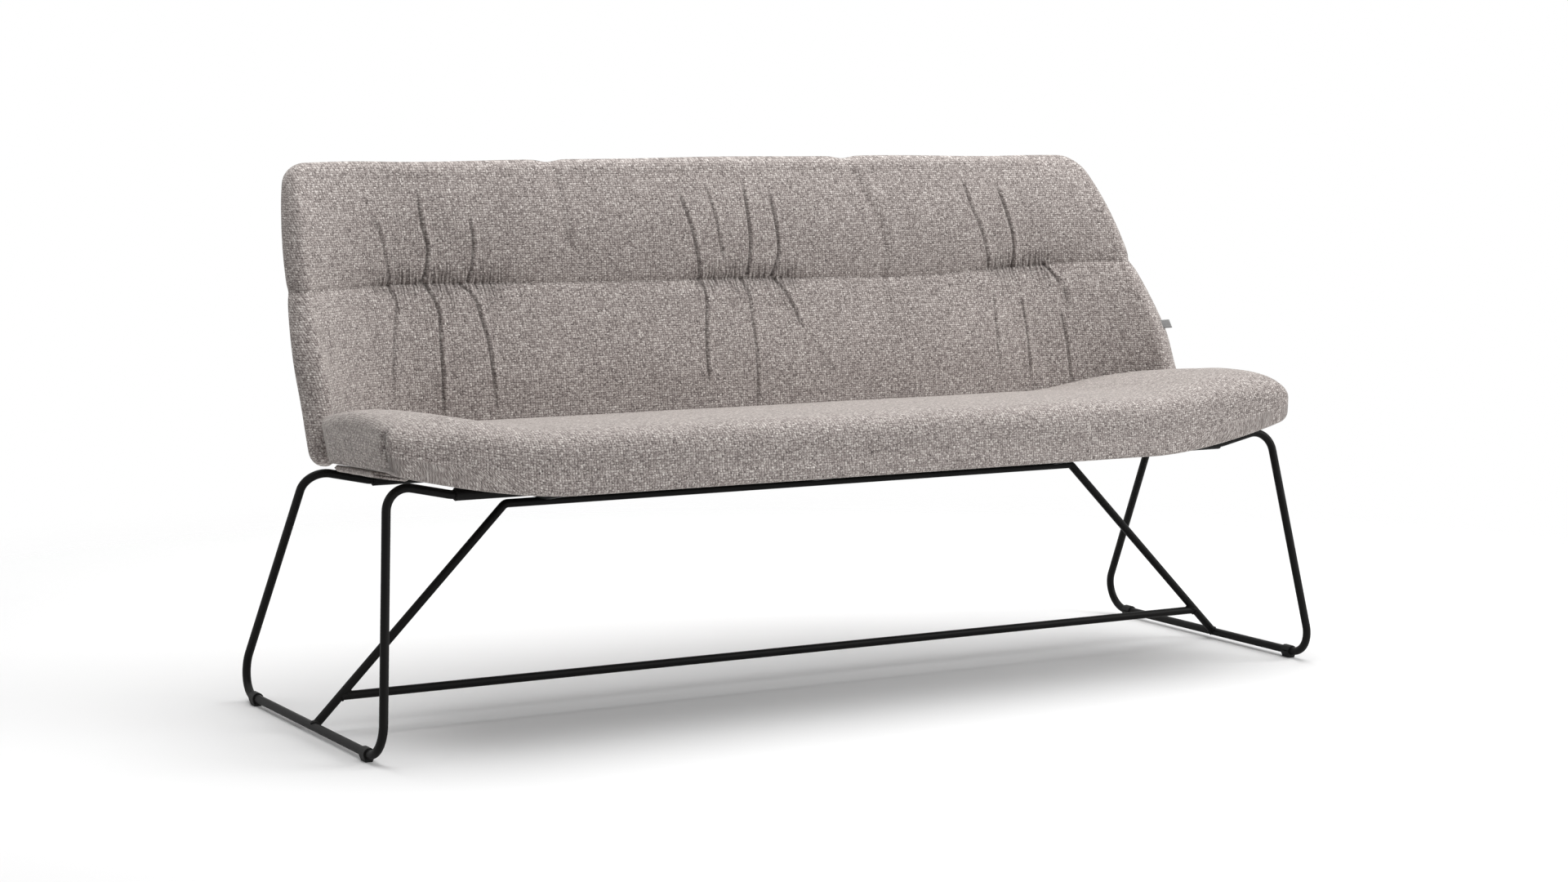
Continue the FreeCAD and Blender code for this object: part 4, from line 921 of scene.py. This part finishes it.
# Outline of the pad; its skin stands out a little, and an end rises, sets back and draws in
SEAT_GROW = 2.3
SEAT_FRONT, FRONT_SETBACK = -262.0, 14.0
END_RISE, END_RISE_PACE = 34.0, 1.14
TOP_FRONT, TOP_REAR, TOP_CROWN = 78.5, 68.0, 4.0
LIP_DROP, LIP_RISE, LIP_PACE, LIP_WIDTH, LIP_SLOPE = 17.5, 49.0, 1.6, 26.0, 5.0
FRONT_EDGE, FRONT_PULL, CORNER_DEPTH = 50.0, 0.95, 105.0
SMALL_EDGE, LOW_EDGE = 11.0, 4.0
FRONT_INSET, BOTTOM_INSET, LIP_INSET = 0.45, 0.1, 0.4
RUN_COUNTS = (4, 22, 32, 8, 6, 6, 4, 34, 6, 6, 10, 4)
UPPER_RUNS = 5


def seat_ring(x, inset, fine):
    """Outline of the pad at a place along the bench, as (v, w), from the middle of the front up and over."""
    share = float(end_share(x))
    front = seat_v(FRONT_SETBACK * share ** 2 + SEAT_FRONT, 0) + FRONT_INSET * inset - SEAT_GROW
    rise = END_RISE * float(ease(share * END_RISE_PACE)) - inset + SEAT_GROW
    bottom = BOARD_BOTTOM + float(board_rise(x)) + BOTTOM_INSET * inset - SEAT_GROW
    lip = LIP_RISE * share ** LIP_PACE - LIP_DROP + LIP_INSET * inset - SEAT_GROW
    top, top_rear = TOP_FRONT + rise, TOP_REAR + rise
    rear_low = seat_rear(x, bottom) - inset + SEAT_GROW
    rear_high = seat_rear(x, top_rear) - inset + SEAT_GROW
    lip_back = front + LIP_WIDTH + 2 * SEAT_GROW
    edge = min(FRONT_EDGE, (top - lip) / 2)
    flat_from = front + edge + CORNER_DEPTH * share ** 2
    half = (front, (top - edge + lip + SMALL_EDGE) / 2)
    rear_half = ((rear_low + rear_high) / 2, (top_rear - SMALL_EDGE + bottom) / 2)
    under = lip_back - LIP_SLOPE, lip
    n = [int(round(count * fine)) for count in RUN_COUNTS]
    runs = [
        straight_run(half, (front, top - edge), n[0]),
        arc_run((front, top - edge), (front, top), (flat_from, top), n[1], FRONT_PULL),
        straight_run((flat_from, top), (rear_high - SMALL_EDGE, top_rear), n[2], TOP_CROWN),
        arc_run((rear_high - SMALL_EDGE, top_rear), (rear_high, top_rear),
                (rear_high, top_rear - SMALL_EDGE), n[3]),
        straight_run((rear_high, top_rear - SMALL_EDGE), rear_half, n[4]),
        straight_run(rear_half, (rear_low, bottom + LOW_EDGE), n[5]),
        arc_run((rear_low, bottom + LOW_EDGE), (rear_low, bottom), (rear_low - LOW_EDGE, bottom), n[6]),
        straight_run((rear_low - LOW_EDGE, bottom), (lip_back, bottom), n[7]),
        straight_run((lip_back, bottom), under, n[8]),
        straight_run(under, (front + SMALL_EDGE, lip), n[9]),
        arc_run((front + SMALL_EDGE, lip), (front, lip), (front, lip + SMALL_EDGE), n[10]),
        straight_run((front, lip + SMALL_EDGE), half, n[11]),
    ]
    return np.vstack(runs), sum(n[:UPPER_RUNS])


# Rounded ends of the pad: their run, how far the outline draws in there, and how far they pass the half length
SEAT_END_RUN, SEAT_END_ROUND, SEAT_END_PAST = 28.0, 20.0, 1.5


def seat_stations(coarse):
    """Places along the bench, each with how far the outline draws in."""
    bends, step, end_step = (5, 40, 20) if coarse else (17, 12, 6.5)
    half = SEAT_HALF + SEAT_END_PAST
    outer = []
    for bend in np.linspace(math.pi / 2, 0, bends):
        outer.append((half - SEAT_END_RUN * (1 - math.sin(bend)), SEAT_END_ROUND * (1 - math.cos(bend))))
    inner = marks((0, SEAT_RISE_FROM, step), (SEAT_RISE_FROM, half - SEAT_END_RUN, end_step))
    outer += [(x, 0) for x in inner[-2::-1]]
    return [(-x, inset) for x, inset in outer] + outer[-2::-1]


def seat_grid(coarse):
    """Rings of points round the pad, their places along the bench, and where the upper part of a ring ends."""
    rings, places = [], []
    for x, inset in seat_stations(coarse):
        ring, split = seat_ring(x, inset, 0.5 if coarse else 1.5)
        rings.append(seat_at(x, ring[:, 0], ring[:, 1]))
        places.append(x)
    return np.stack(rings), np.array(places), split


SEAT_MOST = 3.0
SEAT_PUFF_RUN = 60


def seat_puff(places, around):
    """How far the pad swells when its cover is blown up, at the points of the fine grid."""
    toile, few, split = seat_grid(True)
    count = toile.shape[1]
    last = (len(few) - 1) * count
    faces = ring_faces(len(few), count)[:, ::-1].tolist()
    faces += [list(range(count)), list(range(last, last + count))[::-1]]
    held = np.ones(toile.shape[:2], bool)
    held[1:-1, :split - 3] = False
    moved = blown_up(toile.reshape(-1, 3), faces, held.ravel(), SEAT_MOST).reshape(toile.shape)
    moved *= ease((SEAT_HALF - SEAT_END_RUN - np.abs(few)) / SEAT_PUFF_RUN)[:, None, None]
    moved = np.concatenate([moved, moved[:, :1]], 1)
    loops, fine_loops = np.linspace(0, 1, count + 1), np.linspace(0, 1, around, endpoint=False)
    return spread_over(moved, few, loops, places, fine_loops)


def seat_cloth(rings, quads, split):
    """Cloth places of the pad, along the bench and round its outline."""
    stations, around = rings.shape[:2]
    round_it = lengths(np.concatenate([rings, rings[:, :1]], 1))
    stretch = lengths(rings[:, split // 2])
    stretch -= stretch[stations // 2]
    station, loop = np.divmod(quads, around)
    wraps = (loop == 0).any(1) & (loop == around - 1).any(1)
    loop = np.where(wraps[:, None] & (loop == 0), around, loop)
    return np.stack([stretch[station], round_it[station, loop]], -1).reshape(-1, 2)


END_ROWS = 16
END_CROWN = 3.5
# How far off on the cloth the end pieces are cut
END_CLOTH = 4000


def seat_ends(rings, split):
    """Points and faces that close both ends: a grid between the upper and the lower part of the last ring."""
    stations, around = rings.shape[:2]
    points, faces = [], []
    for side, station in ((-1, 0), (1, stations - 1)):
        ring = rings[station]
        grid = np.zeros((split + 1, END_ROWS + 1), int)
        for high in range(split + 1):
            low = (around - round(high * (around - split) / split)) % around
            grid[high, 0], grid[high, -1] = station * around + low, station * around + high
            for row in range(1, END_ROWS):
                share = row / END_ROWS
                crown = END_CROWN * (math.sin(math.pi * share) * math.sin(math.pi * high / split)) ** 1.5
                grid[high, row] = stations * around + len(points)
                points.append(ring[low] + (ring[high] - ring[low]) * share + np.array([side * crown, 0, 0]))
        quads = np.stack([grid[:-1, :-1], grid[1:, :-1], grid[1:, 1:], grid[:-1, 1:]], -1).reshape(-1, 4)
        for quad in quads[:, ::side].tolist():
            face = list(dict.fromkeys(quad))
            if len(face) > 2:
                faces.append(face)
    return np.array(points), faces


# Tuck at the seat's front corners: x on the right end, y and height of its points
CORNER_TUCK = ((860, -254, 506), (861, -261, 495), (861, -264, 480), (861, -270, 462), (858, -280, 446),
               (850, -290, 431))
# How tight each end's tuck is, the middle and width of its deepest part, and the runs where it fades
TUCK_TIGHT = {-1: 1.0, 1: 0.3}
TUCK_MIDDLE, TUCK_SPREAD, TUCK_IN, TUCK_OUT = 0.42, 0.30, 0.15, 0.1
TUCK_DEPTH, TUCK_DEEPER, TUCK_WIDTH = 1.4, 5.6, 7.0
# Painted shade along a tuck: its amount, how much more at the deepest part, and its width
TUCK_SHADE, TUCK_DARKER, TUCK_SHADE_WIDTH = 0.45, 0.5, 4.5
TUCK_ROLL, TUCK_ROLL_OFF, TUCK_ROLL_WIDTH = 2.2, 14, 8
SEAT_UNEVEN, UNEVEN_FROM, UNEVEN_RUN = 0.6, 425, 20


def laid_on(line, points):
    """A line moved on to the nearest points of a surface, and smoothed."""
    near = np.array([points[np.argmin(np.linalg.norm(points - spot, axis=1))] for spot in line])
    for _ in range(3):
        near[1:-1] = (near[:-2] + 2 * near[1:-1] + near[2:]) / 4
    return near


def dress_seat(piece):
    """Presses the corner tucks and the slight unevenness of the pad into its skin, and marks painted shade
    along the tucks.
    """
    mesh = piece.data
    points = np.zeros(len(mesh.vertices) * 3)
    mesh.vertices.foreach_get("co", points)
    points = points.reshape(-1, 3) / MM
    normals = np.array([normal.vector for normal in mesh.vertex_normals])
    x, y, z = points.T
    push = SEAT_UNEVEN * np.sin(x / 53 + y / 70) * np.sin(y / 41 + z / 30)
    push *= ease((z - UNEVEN_FROM) / UNEVEN_RUN)
    fold = np.zeros(len(points))
    for side, tight in TUCK_TIGHT.items():
        line = laid_on(fine_line([(side * x, y, z) for x, y, z in CORNER_TUCK]), points)
        gap, _, share = near_line(points, line)
        deep = bell(share - TUCK_MIDDLE, TUCK_SPREAD)
        ends = tight * ease(share / TUCK_IN) * ease((1 - share) / TUCK_OUT)
        push -= (TUCK_DEPTH + TUCK_DEEPER * deep) * bell(gap, TUCK_WIDTH) * ends
        # Painted shade along the tuck, darkest at its deepest part
        fold = np.maximum(fold, (TUCK_SHADE + TUCK_DARKER * deep) * bell(gap, TUCK_SHADE_WIDTH) * ends)
        ahead = points[:, 1] < np.interp(share, np.linspace(0, 1, len(line)), line[:, 1])
        push += tight * TUCK_ROLL * deep * bell(gap - TUCK_ROLL_OFF, TUCK_ROLL_WIDTH) * ahead
    points += normals * push[:, None]
    mesh.vertices.foreach_set("co", (points * MM).ravel())
    mesh.update()
    mark(piece, "fold", fold)


def make_seat():
    rings, places, split = seat_grid(False)
    rings = rings + seat_puff(places, rings.shape[1])
    quads = ring_faces(*rings.shape[:2])[:, ::-1]
    end_points, end_faces = seat_ends(rings, split)
    points = np.vstack([rings.reshape(-1, 3), end_points])
    end_flat = points[np.concatenate(end_faces)][:, 1:] + np.array([END_CLOTH, 0])
    flat = np.vstack([seat_cloth(rings, quads, split), end_flat]) * MM
    piece = new_piece("seat_upholstery", points, quads.tolist() + end_faces, weave, flat,
                      ("seat_cover", "seat_foam"))
    dress_seat(piece)


make_back()
make_seat()


# Thin cloth: strips under the seat's ends, the lining below the board and the side tag


def cloth_sheet(name, grid, thickness, finish, replaces, flat_grid):
    """A sheet from a grid of points; its thickness lies below the grid's own side."""
    out = np.cross(np.gradient(grid, axis=1), np.gradient(grid, axis=0))
    out /= np.linalg.norm(out, axis=2, keepdims=True)
    points = np.concatenate([grid.reshape(-1, 3), (grid - out * thickness).reshape(-1, 3)])
    count = grid.shape[0] * grid.shape[1]
    spots = np.arange(count).reshape(grid.shape[:2])
    top = np.stack([spots[:-1, :-1], spots[:-1, 1:], spots[1:, 1:], spots[1:, :-1]], -1).reshape(-1, 4)
    rim = np.concatenate([spots[0, :-1], spots[:-1, -1], spots[-1, :0:-1], spots[:0:-1, 0]])
    following = np.roll(rim, -1)
    sides = np.stack([following, rim, rim + count, following + count], 1)
    faces = np.concatenate([top, top[:, ::-1] + count, sides])
    flat = flat_grid.reshape(-1, 2)[faces.ravel() % count]
    return new_piece(name, points, faces.tolist(), finish, flat, replaces)


# End strips: where they lie along the bench and behind the front rail, their height and their cloth
STRIP_INNER, STRIP_OUTER = 787.0, 845.0
STRIP_FRONT, STRIP_REAR_GAP = 60.0, 2.0
STRIP_HEIGHT = 10.5
STRIP_CLOTH = 1.6
STRIP_TOP = 0.4
STRIP_PINCH, STRIP_SAG, STRIP_SAG_RUN = 4, 0.35, 8


def make_end_strips():
    """A strip of cloth folded double under each end of the seat, its fold to the outside."""
    half = STRIP_HEIGHT / 2
    bends = np.linspace(-math.pi / 2, math.pi / 2, 9)
    run = np.linspace(STRIP_INNER, STRIP_OUTER - half, 22)[:-1]
    place = np.concatenate([run, STRIP_OUTER - half + half * np.cos(bends), run[::-1]])
    level = np.concatenate([np.full(len(run), -half), half * np.sin(bends), np.full(len(run), half)])
    reach = np.linspace(STRIP_FRONT, seat_rear(STRIP_OUTER, BOARD_BOTTOM) - STRIP_REAR_GAP, 40)[:, None]
    length = lengths(np.stack([place, level], 1))
    flat = np.stack(np.broadcast_arrays(length, reach), -1) * MM
    rim = np.minimum(place - STRIP_INNER, np.minimum(reach - reach[0], reach[-1] - reach))
    pinch = STRIP_CLOTH / half + (1 - STRIP_CLOTH / half) * ease(rim / STRIP_PINCH) ** 0.5
    sag = STRIP_SAG * np.sin(reach / 9.0) * ease(rim / STRIP_SAG_RUN)
    w = board_rise(place) + STRIP_TOP - half + level * pinch + sag * (level < 0)
    for side, name in ((-1, "left"), (1, "right")):
        grid = seat_at(side * place, reach, w)
        strip = cloth_sheet(f"end_strip_{name}", grid[::-side], STRIP_CLOTH, weave,
                            (f"end_wrap_{name}",), flat[::-side])


# Lining: its half length, how far the board's front is behind the pad's, and how far it stays inside the board
LINING_HALF = 655
BOARD_SETBACK = 28
LINING_INSET = 30
LINING_TOP, LINING_CLOTH = 1.0, 0.7
LINING_SAG, LINING_RIPPLE, LINING_RIM = 1.6, 0.5, 20
SLACK_FROM, SLACK_TO, SLACK_RUN = 25, 285, 60


def make_lining():
    front = seat_v(SEAT_FRONT, 0) + BOARD_SETBACK + LINING_INSET
    rear = seat_rear(0, BOARD_BOTTOM) - LINING_INSET
    place, reach = np.meshgrid(marks((-LINING_HALF, LINING_HALF, 13)), marks((front, rear, 9)))
    rim = np.minimum(LINING_HALF - np.abs(place), np.minimum(reach - front, rear - reach))
    slack = between(reach, SLACK_FROM, SLACK_TO, SLACK_RUN)
    sag = LINING_SAG * (1 + 0.4 * np.sin(place / 60) * np.sin(reach / 48))
    ripple = LINING_RIPPLE * ease(rim / LINING_RIM) * np.sin(place / 17 + reach / 31)
    grid = seat_at(place, reach, LINING_TOP + board_rise(place) + slack * (ripple - sag))
    flat = np.stack([place, reach], -1) * MM
    sheet = cloth_sheet("underside_lining", grid, LINING_CLOTH, lining, ("dust_cover",), flat)
    float(rear - front) * MM


# Tag: its middle, height, length, the end that is sewn in, and how far it stands past the wing's tip
TAG_Z, TAG_HEIGHT = 583.0, 15.0
TAG_LENGTH, TAG_FOLD, TAG_SEWN = 16.6, 17.2, 6.0
TAG_PAST_TIP = 7.5
TAG_BEHIND = 10.3
TAG_RIBBON = 0.35
# Toward its end it curls, gapes and lifts
TAG_RUN = 18
TAG_CURL, TAG_GAPE, TAG_WIDER, TAG_LIFT = 0.9, 0.55, 0.25, 1.8


def make_tag():
    """A short ribbon folded double, its ends sewn into the edge of the back."""
    z = np.linspace(TAG_Z - TAG_HEIGHT / 2, TAG_Z + TAG_HEIGHT / 2, 9)
    out_run = np.linspace(-TAG_SEWN, TAG_LENGTH, 14)
    run = np.concatenate([out_run, np.full(5, TAG_FOLD), out_run[::-1]])
    bend = np.concatenate([np.full(14, 1.0), np.cos(np.linspace(0.5, math.pi - 0.5, 5)), np.full(14, -1.0)])
    _, radius, angle = back_line(z)
    middle = (foam_front(z) - TAG_BEHIND) / 2
    root = back_spot(np.full(z.shape, BACK_END), z, angle + TAG_PAST_TIP / radius, middle)
    turn = float(back_line(TAG_Z)[2])
    out = np.array([math.cos(turn), -math.sin(turn), 0])
    across = np.array([math.sin(turn), math.cos(turn), 0])
    share = np.clip(run, 0, TAG_RUN) / TAG_RUN
    beside = bend * (TAG_GAPE + TAG_WIDER * share) + TAG_CURL * share ** 2
    way = np.outer(run, out) + np.outer(beside, across) + np.outer(TAG_LIFT * share, (0, 0, 1))
    grid = root[:, None] + way
    length = lengths(grid[0])
    flat = np.stack(np.meshgrid(length, z), -1) * MM
    tag = cloth_sheet("plain_side_tag", grid, TAG_RIBBON, ribbon, ("side_tag",), flat)


make_end_strips()
make_lining()
make_tag()


# Welds: rippled beads where the rods meet

BEAD_LENGTH = 0.9
BEAD_LEAST, BEAD_MOST, BEAD_SEED = 0.86, 1.12, 5


def bead_tree():
    """Beads laid along every line of a mesh: small flattened drops, close together."""
    tree = bpy.data.node_groups.new("weld_beads", "GeometryNodeTree")
    for name, way, kind in (("Lines", "INPUT", "Geometry"), ("Bead radius", "INPUT", "Float"),
                            ("Ripple spacing", "INPUT", "Float"), ("Finish", "INPUT", "Material"),
                            ("Beads", "OUTPUT", "Geometry")):
        tree.interface.new_socket(name, in_out=way, socket_type=f"NodeSocket{kind}")
    given = add_node(tree, "NodeGroupInput").outputs
    line = add_node(tree, "GeometryNodeMeshToCurve", None, {"Mesh": given["Lines"]})
    spaced = add_node(tree, "GeometryNodeResampleCurve", {"mode": "LENGTH"}, {
        "Curve": line.outputs[0], "Length": given["Ripple spacing"]})
    drop = add_node(tree, "GeometryNodeMeshIcoSphere", None, {
        "Radius": given["Bead radius"], "Subdivisions": 2})
    chance = add_node(tree, "FunctionNodeRandomValue", {"data_type": "FLOAT"}, {
        2: BEAD_LEAST, 3: BEAD_MOST, "Seed": BEAD_SEED}).outputs[1]
    way = add_node(tree, "GeometryNodeInputTangent")
    turn = add_node(tree, "FunctionNodeAlignRotationToVector", {"axis": "X"}, {"Vector": way.outputs[0]})
    size = add_node(tree, "ShaderNodeCombineXYZ", None, {0: BEAD_LENGTH, 1: chance, 2: chance})
    laid = add_node(tree, "GeometryNodeInstanceOnPoints", None, {
        "Points": spaced.outputs[0], "Instance": drop.outputs[0], "Rotation": turn.outputs[0],
        "Scale": size.outputs[0]})
    real = add_node(tree, "GeometryNodeRealizeInstances", None, {"Geometry": laid.outputs[0]})
    smooth = add_node(tree, "GeometryNodeSetShadeSmooth", None, {"Geometry": real.outputs[0]})
    dressed = add_node(tree, "GeometryNodeSetMaterial", None, {
        "Geometry": smooth.outputs[0], "Material": given["Finish"]})
    add_node(tree, "NodeGroupOutput", None, {0: dressed.outputs[0]})
    return tree


def grown(name, lines, tree, finish, slot, **inputs):
    """A plain mesh made by a tree from lines of points in millimetres."""
    mesh = bpy.data.meshes.new(f"{name}_lines")
    points, edges = [], []
    for line in lines:
        start = len(points)
        points += [tuple(value * MM for value in spot) for spot in line]
        edges += [(start + step, start + step + 1) for step in range(len(line) - 1)]
    mesh.from_pydata(points, edges, [])
    base = bpy.data.objects.new(f"{name}_base", mesh)
    scene.collection.objects.link(base)
    rule = base.modifiers.new("grow", "NODES")
    rule.node_group = tree
    sockets = {item.name: item.identifier for item in tree.interface.items_tree if item.in_out == "INPUT"}
    for label, value in inputs.items():
        rule[sockets[label.replace("_", " ")]] = value
    rule[sockets["Finish"]] = finish
    base.data.update()
    made = bpy.data.meshes.new_from_object(base.evaluated_get(bpy.context.evaluated_depsgraph_get()))
    made.name = name
    if not made.materials:
        made.materials.append(finish)
    bpy.data.objects.remove(base)
    return put_in(name, made)


# Rods of the frame: radius, middle of a floor bar, upper corner of the truss, stretcher, ends of the seat rails
ROD = 7.0
FLOOR_X, FLOOR_Z = 892.5, 12.6
CORNER_X, CORNER_Z = 560.0, 347.0
STRETCHER_Z = 57.3
RAIL_END = 735.4
PLUG_RING = 8.2
BEAD_LIFT = 0.6


def weld_lines():
    """Lines of weld at both ends: truss on floor bar, stretcher on truss, leg rods in the rails."""
    lines = []
    brace = np.array([FLOOR_X - CORNER_X, FLOOR_Z - CORNER_Z])
    brace = brace / np.linalg.norm(brace)
    square = np.array([-brace[1], brace[0]])
    turns = [(math.cos(turn), math.sin(turn)) for turn in np.linspace(0, TAU, 41)]
    for side in (-1, 1):
        foot, end = [], []
        for beside, up in turns:
            spot = np.array([FLOOR_X, FLOOR_Z]) - brace * (ROD * abs(beside) + BEAD_LIFT) + square * ROD * up
            foot.append((side * spot[0], TRUSS_Y + ROD * beside, spot[1]))
            z = STRETCHER_Z + ROD * up
            x = FLOOR_X + (z - FLOOR_Z) * brace[0] / brace[1] - (ROD * abs(up) + BEAD_LIFT) / abs(square[0])
            end.append((side * x, TRUSS_Y + ROD * beside, z))
        lines += [foot, end]
        for reach, height in (FRONT_RAIL, REAR_RAIL):
            lines.append([(side * RAIL_END, TRUSS_Y + reach + PLUG_RING * beside, height + PLUG_RING * up)
                          for beside, up in turns])
    return lines


grown("weld_beads", weld_lines(), bead_tree(), coat, "frame", Bead_radius=0.0021, Ripple_spacing=0.0015)


# Studio: pale floor, white surround, soft light from above and from the right

FLOOR_CORNERS = [(-14, -9, 0), (14, -9, 0), (14, 24, 0), (-14, 24, 0)]
# The floor fades into the white surround between these distances
FADE_FROM, FADE_TO = 1.3, 2.6
# How much the surround lights the bench; it looks fully white
SURROUND_LIGHT = 0.28
# Lamps: place, what they face, width, depth and power
LAMPS = {
    "top_box": ((0.1, 0.40, 3.4), (0.0, 0.2, 0.4), 4.6, 3.2, 146),
    "right_box": ((3.6, -2.9, 2.3), (0.0, 0.0, 0.5), 2.4, 2.0, 112),
    "front_box": ((1.3, -4.5, 1.9), (0.0, 0.0, 0.5), 2.6, 1.2, 6),
}


def set_floor():
    mesh = bpy.data.meshes.new("studio_floor")
    mesh.from_pydata(FLOOR_CORNERS, [], [(0, 1, 2, 3)])
    floor = bpy.data.objects.new("studio_floor", mesh)
    scene.collection.objects.link(floor)
    paint = Finish("pale_floor", Roughness=0.9, Specular_IOR_Level=0.1)
    place = paint.place()
    speck = paint.noise(place, 3, 2.0)
    away = paint.reading(paint.node("ShaderNodeVectorMath", {"operation": "LENGTH"}, {0: place}), 1)
    fade = paint.node("ShaderNodeMapRange", {"interpolation_type": "SMOOTHSTEP"}, {
        "Value": away, "From Min": FADE_FROM, "From Max": FADE_TO})
    clear = paint.node("ShaderNodeBsdfTransparent")
    both = paint.node("ShaderNodeMixShader", None, {
        0: fade.outputs[0], 1: paint.shader.outputs[0], 2: clear.outputs[0]})
    paint.tree.links.new(both.outputs[0], paint.tree.nodes["Material Output"].inputs[0])
    mesh.materials.append(paint.feed(Base_Color=paint.shades(speck, (
        (0.3, (0.945, 0.945, 0.945)), (0.7, (0.955, 0.955, 0.955))))))


def set_surround():
    world = bpy.data.worlds.new("white_surround")
    world.use_nodes = True
    scene.world = world
    tree = world.node_tree
    back = tree.nodes["Background"]
    back.inputs["Color"].default_value = (1, 1, 1, 1)
    rays = add_node(tree, "ShaderNodeLightPath").outputs
    through = add_node(tree, "ShaderNodeMath", {"operation": "MAXIMUM"}, {
        0: rays["Is Glossy Ray"], 1: rays["Is Transmission Ray"]})
    seen = add_node(tree, "ShaderNodeMath", {"operation": "MAXIMUM"}, {
        0: rays["Is Camera Ray"], 1: through.outputs[0]})
    level = add_node(tree, "ShaderNodeMapRange", None, {
        "Value": seen.outputs[0], "To Min": SURROUND_LIGHT, "To Max": 1.0})
    tree.links.new(level.outputs[0], back.inputs["Strength"])


def set_lamps():
    for name, (place, aim, wide, deep, power) in LAMPS.items():
        lamp = bpy.data.lights.new(name, "AREA")
        lamp.shape = "RECTANGLE"
        lamp.size, lamp.size_y = wide, deep
        lamp.energy = power
        box = bpy.data.objects.new(name, lamp)
        box.location = place
        box.rotation_euler = (Vector(aim) - Vector(place)).to_track_quat("-Z", "Y").to_euler()
        scene.collection.objects.link(box)


set_floor()
set_surround()
set_lamps()
